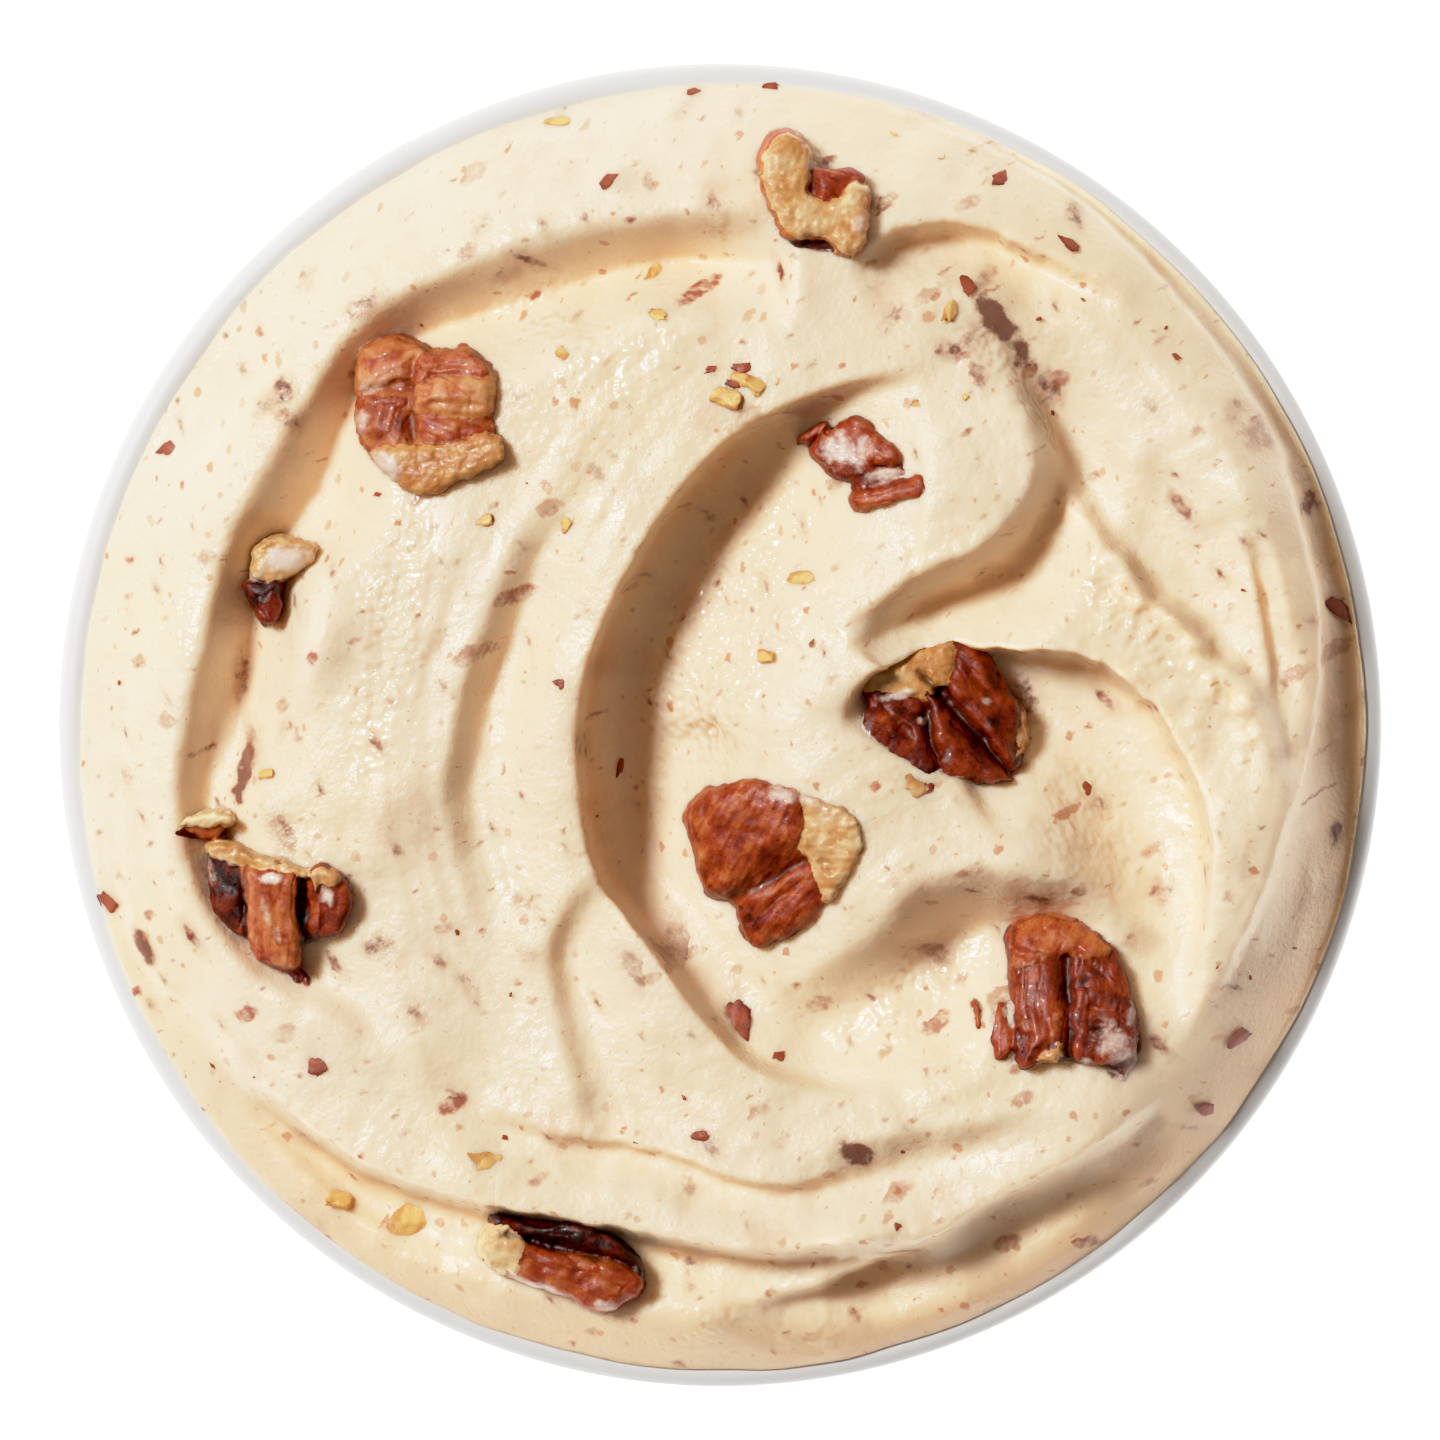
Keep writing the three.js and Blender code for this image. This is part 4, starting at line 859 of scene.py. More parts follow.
def paper_material(look):
    """White coated paper: faint fibres and a soft sheen."""
    shader = Shader("paper")
    cloud = shader.noise(9, 3)
    fibres = shader.noise(0.35, 4, 0.6, shader.stretched(1, 1, 0.35))
    colour = shader.mix(cloud * 0.5, look.paper_colour, shade(look.paper_colour, 0.97))
    roughness = 0.42 + shader.noise(1.5, 2) * 0.16
    normal = shader.bump(fibres, distance=0.02, strength=0.5)
    return shader.finish(Base_Color=colour, Roughness=roughness, Normal=normal)


def cream_material(look):
    """Ice cream: pale, softly translucent, with buried crumbs, small wet glints, and painted shade in its
    hollows and beside the rim.
    """
    shader = Shader("cream")
    colour = shader.mix(shader.noise(14, 1).between(0.3, 0.75), look.colour, look.warm_colour)
    # Painted shade: the hollow attribute shifts deep hollows, and the strip beside the rim on the side turned
    # from the light, towards a warm tan as if in shadow
    colour = shader.mix(shader.attribute("hollow") * 0.85, colour, look.hollow_colour)
    near, far = shader.ragged(0.6, 0.65, 1.7)
    grain = shader.noise(0.5, 2, 0.6)
    bits = shader.noise(1.1, 3, 0.6)

    # Crumbs under the surface, blurred by the cream over them
    blurred = shader.flakes(far, cell=4, share=0.7, size=1.3, soft=1.8)
    colour = shader.mix(blurred * 0.55, colour, look.blur_colour)
    patches = shader.flakes(far, cell=8, share=0.42, size=1.6, turn=60, stretch=1.5, soft=1.6)
    buried = (shader.attribute("stain") + patches * 0.75).clamp()
    colour = shader.mix((buried * 1.5).clamp() * 0.55, colour, look.lilac_stain)
    colour = shader.mix(((buried * 1.3 + bits * 1.6 - 1.45) * 2.5).clamp() * 0.85, colour, look.brown_stain)
    halo = shader.flakes(near, cell=3.6, share=0.5, size=1.1, turn=-50, stretch=2, soft=1.6)
    colour = shader.mix(halo * 0.5, colour, look.lilac_stain)

    # Specks at the surface: fine dots, thin flakes, and darker ones in the middle of the halos
    dots = shader.flakes(near, cell=1.5, share=0.5, size=0.3, soft=1)
    colour = shader.mix(dots * 0.85, colour, look.dot_colour)
    mottled = ((bits - 0.5) * 3.5 + 0.8).clamp()
    thin = shader.flakes(near, cell=2.4, share=0.6, size=0.5, turn=25, stretch=1.8, soft=1)
    colour = shader.mix(thin * mottled, colour, look.flake_colour)
    dark = shader.flakes(near, cell=3.6, share=0.5, size=0.6, turn=-50, stretch=2, soft=0.9)
    colour = shader.mix(dark * mottled, colour, look.dark_flake_colour)

    wet = (shader.attribute("wet") + shader.noise(5, 1).between(0.5, 0.7) * 0.4).clamp()
    roughness = 0.35 - wet * 0.28 + grain * 0.08
    wavelets = shader.noise(0.6, 0)
    normal = shader.bump(grain * (1 - wet) + wavelets * wet * wet * 3.4, distance=0.17, strength=0.8)
    return shader.finish(
        Base_Color=colour, Roughness=roughness, Normal=normal, Subsurface_Weight=1.0,
        Subsurface_Radius=(1.0, 0.6, 0.35), Subsurface_Scale=look.light_depth, IOR=1.38)


def pecan_material(look):
    """Pecan: wrinkled red-brown skin, pale broken flesh, a film of cream, and painted shade in its creases.
    """
    shader = Shader("pecan")
    flesh, film = shader.attribute("flesh"), shader.attribute("film")
    tone, deep = shader.attribute("tone"), shader.attribute("deep")
    cloud = shader.noise(1.3, 4, 0.65)
    veins = shader.noise(0.35, 3, 0.65)
    tint = tone + (cloud - 0.5) * 0.9 + (veins - 0.5) * 0.3
    skin = shader.wire("ShaderNodeValToRGB", {"stops": [
        (0.0, look.black_skin), (1.0, look.gold_skin), (0.2, look.dark_skin), (0.47, look.red_skin),
        (0.74, look.pale_skin)]}, {"Fac": tint})
    ripe = tone + (shader.noise(1.4, 3, 0.6) - 0.5) * 1.1 - veins.between(0.5, 0.8) * 0.2
    meat = shader.wire("ShaderNodeValToRGB", {"stops": [
        (0.0, look.brown_flesh), (1.0, look.pale_flesh), (0.5, look.flesh)]}, {"Fac": ripe})
    colour = shader.mix((flesh + (veins - 0.5) * 0.6).between(0.42, 0.58), skin, meat)
    # Painted shade: the deep attribute darkens creases and the seams between skin lobes nearly to black, as
    # if in shadow
    colour = shader.mix(deep * 0.85, colour, look.crease_painted_shade)
    milky = (film + (shader.noise(0.6, 4, 0.7) - 0.5) * 1.3).between(0.15, 1.05)
    colour = shader.mix(milky * 0.9, colour, look.film)
    sparkle = shader.noise(0.28, 1).between(0.6, 0.68)
    roughness = 0.42 + veins * 0.16 - sparkle * 0.3 - flesh * 0.08
    return shader.finish(
        Base_Color=colour, Roughness=roughness, Normal=shader.bump(veins, distance=0.07, strength=0.7),
        Subsurface_Weight=0.22,
        Subsurface_Radius=(1.0, 0.5, 0.2), Subsurface_Scale=0.7 * MM)


def crumb_material(name, base, other):
    """A crumb of nut: its base colour, with the other one at its rim and in spots."""
    shader = Shader(name)
    cloud = shader.noise(0.8, 3, 0.6)
    brown = (shader.attribute("brown") + cloud.between(0.5, 0.75) * 0.5).clamp()
    colour = shader.mix(brown, base, other)
    normal = shader.bump(shader.noise(0.3, 3, 0.6), distance=0.06, strength=0.6)
    return shader.finish(
        Base_Color=colour, Roughness=0.35 + cloud * 0.3, Normal=normal, Subsurface_Weight=0.15,
        Subsurface_Radius=(1.0, 0.5, 0.2), Subsurface_Scale=0.6 * MM)


def floor_material(look):
    """A white floor that gives itself light, and is left out where light is sampled."""
    shader = Shader("floor")
    shader.material.cycles.emission_sampling = "NONE"
    colour = shader.mix(shader.noise(60, 2), look.floor_colour, shade(look.floor_colour, 0.99))
    return shader.finish(
        Base_Color=colour, Roughness=0.7, Emission_Color=(1, 1, 1, 1), Emission_Strength=look.floor_glow)


def length(label, description, default):
    return bpy.props.FloatProperty(
        name=label, description=description, default=default, min=0, unit="LENGTH", subtype="DISTANCE")


def angle(label, description, degrees):
    return bpy.props.FloatProperty(
        name=label, description=description, default=math.radians(degrees), unit="ROTATION", subtype="ANGLE")


def number(label, description, default):
    return bpy.props.FloatProperty(name=label, description=description, default=default, min=0)


def colour(label, description, value):
    return bpy.props.FloatVectorProperty(
        name=label, description=description, default=(*value, 1), size=4, min=0, max=1, subtype="COLOR")


class TubSettings(bpy.types.PropertyGroup):
    """Sizes and colour of the paper tub"""

    bead_radius: length("Bead radius", "Radius of the rolled rim's roll", 1.25 * MM)
    wall: length("Wall", "Thickness of the paper wall", 0.6 * MM)
    foot_radius: length("Foot radius", "Outer radius of the foot", 37.8 * MM)
    foot_width: length("Foot width", "Thickness of the folded foot", 1.6 * MM)
    recess: length("Recess", "Height of the bottom above the foot", 6 * MM)
    seam_width: length("Seam width", "How far the wall's side seam overlaps", 9 * MM)
    seam_step: length("Seam step", "How far the seam's edge stands out", 0.28 * MM)
    seam_place: angle("Seam place", "Way in which the seam lies", 118)
    wave: length("Wave", "How far the wall is from quite round", 0.03 * MM)
    rim_wave: length("Rim wave", "How uneven the top of the rolled rim is", 0.035 * MM)
    paper_colour: colour("Paper colour", "Colour of the coated paper", (0.74, 0.74, 0.735))


class CreamSettings(bpy.types.PropertyGroup):
    """Sizes and colours of the ice cream"""

    reach: length("Reach", "Radius at which the cream meets the rim", 46.9 * MM)
    edge_drop: length("Edge drop", "How far the cream's edge lies in the rim's paper", 0.08 * MM)
    left_gap: length("Left gap", "How much less far it reaches at the upper left", 0.6 * MM)
    wobble: length("Wobble", "How far its edge wanders inwards", 0.25 * MM)
    dome_rise: length("Dome rise", "How far the dome stands over its edge", 8.1 * MM)
    steep_side: angle("Steep side", "Way in which the dome's side is steepest", -35)
    low_side: angle("Low side", "Way in which the dome is lowest", -140)
    colour: colour("Colour", "Main colour of the cream", (0.93, 0.73, 0.52))
    warm_colour: colour("Warm colour", "Colour of its yellower parts", (0.925, 0.708, 0.475))
    # Painted shade: the warm tan that stands in for shadow in the hollows and beside the rim
    hollow_colour: colour("Hollow colour", "Colour towards which the hollows shift", (0.85, 0.465, 0.215))
    flake_colour: colour("Flake colour", "Colour of the thin flakes of skin in it", linear(164, 86, 64))
    dark_flake_colour: colour("Dark flake colour", "Colour of the darker flakes", linear(126, 60, 48))
    dot_colour: colour("Dot colour", "Colour of the finest dots", linear(200, 128, 88))
    blur_colour: colour("Blur colour", "Colour of crumbs that shine through", linear(232, 194, 166))
    brown_stain: colour("Brown stain", "Darker colour of larger buried crumbs", linear(108, 56, 44))
    lilac_stain: colour("Lilac stain", "Milky colour of larger buried crumbs", linear(190, 146, 122))
    light_depth: length("Light depth", "How far light spreads inside the cream", 1.8 * MM)


class PecanSettings(bpy.types.PropertyGroup):
    """Looks of the pecan pieces"""

    grain: length("Grain", "Size of the faces of a pecan piece", 0.13 * MM)
    wrinkle: length("Wrinkle", "Depth of the skin's fine lines", 0.04 * MM)
    black_skin: colour("Black skin", "Colour of the darkest skin", linear(36, 3, 0))
    dark_skin: colour("Dark skin", "Colour of dark skin", linear(104, 26, 6))
    red_skin: colour("Red skin", "Colour of the reddish skin", linear(152, 58, 20))
    pale_skin: colour("Pale skin", "Colour of pale skin", linear(182, 104, 54))
    gold_skin: colour("Gold skin", "Colour of the palest skin", linear(200, 144, 92))
    # Painted shade: the near-black colour put in the creases and between lobes
    crease_painted_shade: colour("Deep skin", "Colour in the grooves", linear(40, 4, 0))
    flesh: colour("Flesh", "Colour of the broken flesh", linear(198, 142, 84))
    pale_flesh: colour("Pale flesh", "Colour of its palest parts", linear(236, 208, 162))
    brown_flesh: colour("Brown flesh", "Colour of its brown streaks", linear(166, 92, 40))
    film: colour("Film", "Colour of cream left on the nut", linear(228, 206, 192))


class CrumbSettings(bpy.types.PropertyGroup):
    """Looks of the nut crumbs"""

    count: bpy.props.IntProperty(name="Count", description="Small crumbs strewn at random", default=54, min=0)
    seed: bpy.props.IntProperty(name="Seed", description="Seed of their places", default=11)
    spread: length("Spread", "Radius within which they are strewn", 45 * MM)
    clearance: length("Clearance", "How far from a pecan piece's middle they stay", 6.5 * MM)
    flesh_thickness: number("Flesh thickness", "Thickness of a flesh crumb for its width", 0.5)
    skin_thickness: number("Skin thickness", "Thickness of a skin crumb for its width", 0.28)
    flesh: colour("Flesh", "Colour of the flesh crumbs", linear(232, 182, 110))
    brown_flesh: colour("Brown flesh", "Their browner parts", linear(172, 92, 38))
    skin: colour("Skin", "Colour of the skin crumbs", linear(152, 70, 40))
    dark_skin: colour("Dark skin", "Their darker parts", linear(96, 34, 18))


class StageSettings(bpy.types.PropertyGroup):
    """Camera, light and floor"""

    view_width: length("View width", "Width of what the camera sees at the rim", 104.35 * MM)
    view_distance: length("View distance", "Distance from the rim to the camera", 1.0)
    view_shift: length("View shift", "How far the picture's middle lies above the tub's axis", 0.36 * MM)
    sun_colour: colour("Sun colour", "Colour of the main light", (1.0, 0.985, 0.955))
    sun_turn: angle("Sun turn", "Way that the light comes from, seen from above", 150)
    sun_height: angle("Sun height", "Height of the light over the horizon", 49.5)
    sun_size: angle("Sun size", "Apparent size of the light", 14)
    sun_strength: number("Sun strength", "Strength of the main light", 2.68)
    sky_strength: number("Sky strength", "Strength of the light from all round", 0.11)
    sky_colour: colour("Sky colour", "Colour of the light from all round", (1.0, 0.84, 0.75))
    floor_radius: length("Floor radius", "Radius of the floor", 3.0)
    floor_colour: colour("Floor colour", "Colour of the floor", (0.9, 0.9, 0.9))
    floor_glow: number("Floor glow", "Light that the floor gives itself", 1.1)
    film_black: number("Film black", "Light that shows as black", 0.006)
    film_white: number("Film white", "Light that shows as white", 1.2)
    film_gain: number("Film gain", "How much brighter deep tones show", 1.45)
    film_shoulder: number("Film shoulder", "Brightness above which tones are pressed together", 0.5)


# Fineness of the meshes: steps round the tub, and cuts along each side of the cream's six triangles
TUB_STEPS = 288
CREAM_CUTS = (12, 12)


def arc(middle, radius, start, end, steps):
    """Points on an arc in degrees, ends included."""
    turns = np.radians(np.linspace(start, end, steps + 1))
    return [(middle[0] + radius * math.cos(t), middle[1] + radius * math.sin(t)) for t in turns]


def tub_profile(sizes):
    """Half section of the tub from the axis under the bottom round to the axis inside it."""
    bead, wall, foot = sizes.bead_radius / MM, sizes.wall / MM, sizes.foot_radius / MM
    recess, inner_foot = sizes.recess / MM, (sizes.foot_radius - sizes.foot_width) / MM

    def outer_wall(z):
        top = RIM_RADIUS - 2 * bead + wall
        return foot + (top - foot) * z / (RIM_TOP - bead)

    def layer(left, right):
        rounded_left = [(left + 0.04, 0.3), (left + 0.06, 0.06), (left + 0.14, 0.0)]
        return rounded_left + [(right - 0.14, 0.0), (right - 0.05, 0.07)]

    under = [(0, recess), (inner_foot - 1.2, recess)] + arc((inner_foot - 0.5, recess - 0.5), 0.5, 100, 0, 4)
    skirt = [(inner_foot, 3.0), (inner_foot, 0.25)]
    folds = layer(inner_foot, inner_foot + 0.5) + layer(inner_foot + 0.55, inner_foot + 1.0)
    folds += layer(foot - 0.55, foot)
    under_bead = RIM_TOP - 2 * bead
    side = [(outer_wall(z), z) for z in (0.3, 1.0, 5.0, 6.2, 7.4, 20, 34, 48, 57.5, under_bead - 0.35)]
    slit = [(outer_wall(under_bead), under_bead + 0.1)]
    curl = arc((RIM_RADIUS - bead, RIM_TOP - bead), bead, -118, 180, 30)
    floor = recess + wall
    inside = [(outer_wall(z) - wall, z) for z in (57, 48, 34, 20, floor + 1.4)]
    inside += [(outer_wall(floor) - wall - 0.5, floor + 0.35), (outer_wall(floor) - wall - 1.6, floor)]
    inside += [(0, floor)]
    return under + skirt + folds + side + slit + curl + inside


def trace(points):
    """A line of vertices through points of a section, drawn one extrusion after another."""
    bpy.ops.mesh.primitive_plane_add(size=1)
    piece = bpy.context.object
    with editing():
        bpy.ops.mesh.merge(type="CENTER")
        bpy.ops.transform.translate(value=(points[0][0], 0, points[0][1]))
        for (x0, z0), (x1, z1) in zip(points, points[1:]):
            bpy.ops.mesh.extrude_region_move(TRANSFORM_OT_translate={"value": (x1 - x0, 0, z1 - z0)})
    return piece


class ICECREAM_OT_tub(bpy.types.Operator):
    """Makes the paper tub with its rolled rim, side seam and folded foot"""

    bl_idname = "ice_cream.make_tub"
    bl_label = "Make tub"

    def execute(self, context):
        sizes = context.scene.ice_cream_tub
        start_clean()
        piece = trace(tub_profile(sizes))
        with editing():
            bpy.ops.mesh.select_all(action="SELECT")
            bpy.ops.mesh.spin(steps=TUB_STEPS, angle=math.tau, center=(0, 0, 0), axis=(0, 0, 1))
            bpy.ops.mesh.select_all(action="SELECT")
            bpy.ops.mesh.remove_doubles(threshold=0.001)
            bpy.ops.mesh.normals_make_consistent(inside=False)
        self.shape(piece, sizes)
        finish_piece(piece, "tub", paper_material(sizes), SLOTS["tub"], "paper_tub")
        only(piece)
        bpy.ops.object.shade_smooth_by_angle(angle=math.radians(40))
        return {"FINISHED"}

    def shape(self, piece, sizes):
        """The seam stands out of the wall, and paper is never quite round or even."""
        x, y, z = points_of(piece).T
        radius, way = np.hypot(x, y), np.arctan2(y, x)
        bead, width = sizes.bead_radius / MM, sizes.seam_width / MM
        along = (way - sizes.seam_place) * radius
        lap = smooth(-0.12, 0.12, along) * (1 - smooth(0.35 * width, width, along))
        outside = radius > self.middle_of_wall(z, sizes)
        on_wall = (z < RIM_TOP - 2 * bead - 0.2) & (z > 0.02)
        on_bead = np.hypot(radius - (RIM_RADIUS - bead), z - (RIM_TOP - bead)) < bead * 1.02
        out = lap * outside * (sizes.seam_step / MM * on_wall + 0.07 * on_bead)
        wave = noise(np.cos(way) * 20, np.sin(way) * 20, z * 0.25, size=7, seed=SEEDS["wall"], octaves=2)
        between = smooth(0.1, 3, z) * (1 - smooth(RIM_TOP - 6, RIM_TOP - 3, z)) * (radius > 30)
        out = out + sizes.wave / MM * wave * between
        grow = 1 + out / np.maximum(radius, 1)
        dips = np.abs(noise(np.cos(way) * 30, np.sin(way) * 30, 0, size=5, seed=SEEDS["rim"], octaves=2))
        dips *= sizes.rim_wave / MM * on_bead * (z > RIM_TOP - bead)
        move_points(piece, np.column_stack([x * grow, y * grow, z - dips]))

    def middle_of_wall(self, z, sizes):
        """Radius of the middle of the paper wall at a height."""
        top = (TUB_HIGH.x - 2 * sizes.bead_radius + sizes.wall / 2) / MM
        foot = (sizes.foot_radius - sizes.wall / 2) / MM
        return foot + (top - foot) * np.clip(z / (RIM_TOP - sizes.bead_radius / MM), 0, 1)


class ICECREAM_OT_cream(bpy.types.Operator):
    """Makes the ice cream, drawn about with a spoon, down to the tub's bottom"""

    bl_idname = "ice_cream.make_cream"
    bl_label = "Make cream"

    def execute(self, context):
        look = context.scene.ice_cream
        piece = self.disc()
        self.spread(piece, look)
        self.sides(piece, context.scene.ice_cream_tub)
        finish_piece(piece, "cream", cream_material(look), SLOTS["cream"], "ice_cream")
        return {"FINISHED"}

    def disc(self):
        """Six equal triangles, each cut into rows, make a mesh of even triangles."""
        start_clean()
        bpy.ops.mesh.primitive_circle_add(vertices=6, radius=1, fill_type="TRIFAN")
        piece = bpy.context.object
        with editing():
            for cuts in CREAM_CUTS:
                bpy.ops.mesh.subdivide(number_cuts=cuts)
        return piece

    def spread(self, piece, look):
        """The six-sided disc is spread to a round one, raised to the dome and stroked."""
        flat_x, flat_y, _ = points_of(piece).T
        out, way = np.hypot(flat_x, flat_y), np.arctan2(flat_y, flat_x)
        corners = math.tau / 6
        first = way[out.argmax()]
        sector, inside = np.divmod(way - first, corners)
        along_next = out * np.sin(inside) / math.sin(corners)
        along_first = out * np.sin(corners - inside) / math.sin(corners)
        ring = along_next + along_first
        way = first + (sector + along_next / np.maximum(ring, 1e-9)) * corners
        radius = ring * cream_reach(way)
        x, y = radius * np.cos(way), radius * np.sin(way)
        z, lean_x, lean_y, crisp, streaks = cream_form(x, y, rough=1.0)
        dome = cream_dome(x, y)
        move_points(piece, np.column_stack([x, y, z - dome]))
        self.soften(piece, 9, np.clip(1 - 1.3 * crisp, 0, 1) * smooth(0, 0.04, 1 - ring))
        z = points_of(piece)[:, 2]
        self.soften(piece, 250, smooth(0, 0.1, 1 - ring))
        cavity = points_of(piece)[:, 2] - z

        wet = self.patches(x, y, WET_PATCHES, ragged=0.25, size=2.2)
        edge = smooth(0, 0.03, 1 - ring)
        z += dome + edge * STREAK_HEIGHT * streaks
        for height, size, seed, octaves in RELIEF:
            z += edge * height * hills(x, y, size, seed, octaves)
        height, size, seed, octaves = WET_RELIEF
        z += edge * wet * height * hills(x, y, size, seed, octaves)
        move_points(piece, np.column_stack([x + lean_x, y + lean_y, z]))

        # Painted shade, kept as the hollow attribute: the deeper a place lies below its smoothed
        # surroundings, the more it is tinted as if in shadow
        hollow = smooth(0.5, 3.3, cavity) * (1 - 0.6 * smooth(0.9, 0.97, ring))
        # Painted shade: the strip beside the rim is tinted on the side that the dome turns from the light, as
        # if in its shadow
        shaded = smooth(-0.5, 1, np.cos(way - look.steep_side + SHADE_TURN))
        rim_painted_shade = 0.6 * smooth(0.87, 0.99, ring) * shaded
        set_attribute(piece, "hollow", np.maximum(hollow, rim_painted_shade))
        set_attribute(piece, "wet", wet)
        set_attribute(piece, "stain", self.patches(x, y, STAINS, ragged=0.35, size=0.9))

    def soften(self, piece, times, weights):
        """Evens out heights, as far as the weights let it."""
        group = piece.vertex_groups.new(name="soft")
        for index, weight in enumerate(weights):
            group.add([index], float(weight), "REPLACE")
        apply_modifier(
            piece, "SMOOTH", factor=0.5, iterations=times, use_x=False, use_y=False, vertex_group="soft")
        piece.vertex_groups.clear()

    def patches(self, x, y, table, ragged, size):
        """How strongly each place lies in one of a table's patches, whose outline wanders by ragged."""
        strength = np.zeros(len(x))
        wander = ragged * noise(x, y, 0, size, seed=SEEDS["patches"], octaves=2)
        for px, py, half_length, half_width, turn, most in table:
            out = outside_ellipse(x, y, px, py, half_length, half_width, turn) + wander
            strength = np.maximum(strength, most * (1 - smooth(0.45, 1.3, out)))
        return strength

    def sides(self, piece, tub):
        """The edge dips into the rim, and the cream goes on just inside the wall to the bottom."""
        floor = CREAM_LOW.z / MM - 0.4
        under_rim = RIM_TOP - tub.bead_radius / MM
        top = (TUB_HIGH.x - 2 * tub.bead_radius + 0.5 * tub.wall) / MM
        foot = (tub.foot_radius - 0.5 * tub.wall) / MM
        foot += (top - foot) * floor / under_rim
        only(piece)
        with editing():
            bpy.ops.mesh.select_mode(type="VERT")
            bpy.ops.mesh.select_all(action="DESELECT")
            bpy.ops.mesh.select_non_manifold()
        for radius, z in ((RIM_RADIUS - 1.7, under_rim - 0.15), (top, under_rim - 1.5), (foot, floor)):
            with editing():
                bpy.ops.mesh.extrude_region_move(TRANSFORM_OT_translate={"value": (0, 0, 0)})
            points = points_of(piece)
            ring = np.array([v.select for v in piece.data.vertices])
            points[ring, :2] *= radius / np.hypot(*points[ring, :2].T)[:, None]
            points[ring, 2] = z
            move_points(piece, points)
        with editing():
            bpy.ops.mesh.edge_face_add()


class ICECREAM_OT_pecans(bpy.types.Operator):
    """Makes the pecan pieces from their lobes, creases and patches of cream"""

    bl_idname = "ice_cream.make_pecans"
    bl_label = "Make pecans"

    def execute(self, context):
        look = context.scene.ice_cream_pecans
        material = pecan_material(look)
        for number, (name, nut) in enumerate(PECANS.items()):
            piece = self.rough_out(nut, look.grain / MM, number)
            self.carve(piece, nut, look, number)
            finish_piece(piece, name.replace("pecan_", "nut_"), material, SLOTS["pecan"], name)
        return {"FINISHED"}

    def heights(self, x, y, nut, number):
        """Height of each lobe over the nut's level at each place, falling off steeply outside it."""
        found = []
        for index, lobe in enumerate(nut["lobes"]):
            wander, size, width, drop = EDGES[lobe.kind]
            if lobe.kind == "skin":
                width, drop = nut.get("round", (width, drop))
            seed = SEEDS["outline"] + 10 * number + index
            px = x + wander * noise(x, y, 0, size, seed, octaves=2)
            py = y + wander * noise(x, y, 5, size, seed, octaves=2)
            inside = inside_distance(px, py, curve(lobe.outline, OUTLINE_STEP, closed=True))
            share = min(1, 0.9 * float(inside.max()) / width)
            rounded = drop * share * (1 - np.clip(inside / (width * share), 0, 1)) ** 2
            top = lobe.height + lobe.slope[0] * x + lobe.slope[1] * y - rounded
            found.append(top + NUT_SIDE_SLOPE * np.minimum(inside, 0))
        return np.array(found)

    def cut(self, x, y, nut, number):
        """How deep the creases go at each place."""
        deepest = np.zeros(len(x))
        for x0, y0, x1, y1, width, depth in nut["creases"]:
            long_x, long_y = x1 - x0, y1 - y0
            t = np.clip(((x - x0) * long_x + (y - y0) * long_y) / (long_x**2 + long_y**2), 0, 1)
            away = np.hypot(x - x0 - t * long_x, y - y0 - t * long_y)
            away = np.abs(away + 0.2 * noise(x, y, 0, size=1.3, seed=SEEDS["crease"] + number, octaves=2))
            deepest = np.maximum(deepest, depth * np.exp(-((away / width) ** 2)))
        return deepest

    def ground(self, nut, around=3.5, share=0.5):
        """Height at which a piece stands, and the share of the cream's slopes that it follows."""
        way = np.linspace(0, math.tau, 24, endpoint=False)
        z = cream_height(nut["x"] + around * np.cos(way), nut["y"] + around * np.sin(way))
        slope_x = 2 * share / around * float(np.mean(z * np.cos(way)))
        slope_y = 2 * share / around * float(np.mean(z * np.sin(way)))
        return float(z.mean()) + nut["rise"], slope_x, slope_y

    def rough_out(self, nut, grain, number):
        """A grid is raised to the lobes, cut off level under the cream and closed to a body."""
        outlines = np.array([point for lobe in nut["lobes"] for point in lobe.outline])
        low, high = outlines.min(0) - NUT_MARGIN, outlines.max(0) + NUT_MARGIN
        columns, rows = (int(cells) for cells in np.ceil((high - low) / grain))
        start_clean()
        bpy.ops.mesh.primitive_grid_add(x_subdivisions=columns, y_subdivisions=rows, size=1)
        piece = bpy.context.object
        x, y = (points_of(piece)[:, :2] * (high - low) + (high + low) / 2).T
        z = np.maximum(self.heights(x, y, nut, number).max(0), -NUT_DEPTH - 0.3) - self.cut(x, y, nut, number)
        move_points(piece, np.column_stack([x, y, z]))
        with editing():
            bpy.ops.mesh.select_all(action="SELECT")
            bpy.ops.mesh.bisect(
                plane_co=(0, 0, -NUT_DEPTH), plane_no=(0, 0, 1), use_fill=True, clear_inner=True)
        apply_modifier(piece, "REMESH", mode="VOXEL", voxel_size=grain)
        apply_modifier(piece, "SMOOTH", factor=0.5, iterations=2)
        return piece

    def carve(self, piece, nut, look, number):
        """Fine lines along the skin, grainy broken faces, what the surface is made of, and painted shade in
        its creases and seams.
        """
        points = points_of(piece)
        normals = values_of(piece, "normal")
        x, y, z = points.T
        heights = self.heights(x, y, nut, number)
        heights += 0.06 * np.array([
            noise(x, y, z, size=0.5, seed=SEEDS["meeting"] + index, octaves=2)
            for index in range(len(heights))])
        top = heights.argmax(0)
        flesh = np.array([lobe.kind == "flesh" for lobe in nut["lobes"]], float)[top]
        tone = np.array([lobe.tone for lobe in nut["lobes"]])[top]
        turn = np.radians([lobe.lines for lobe in nut["lobes"]])[top]
        u, v = x * np.cos(turn) + y * np.sin(turn), y * np.cos(turn) - x * np.sin(turn)

        def uneven(name, size, octaves=1):
            return noise(x, y, z, size, SEEDS[name] + number, octaves)

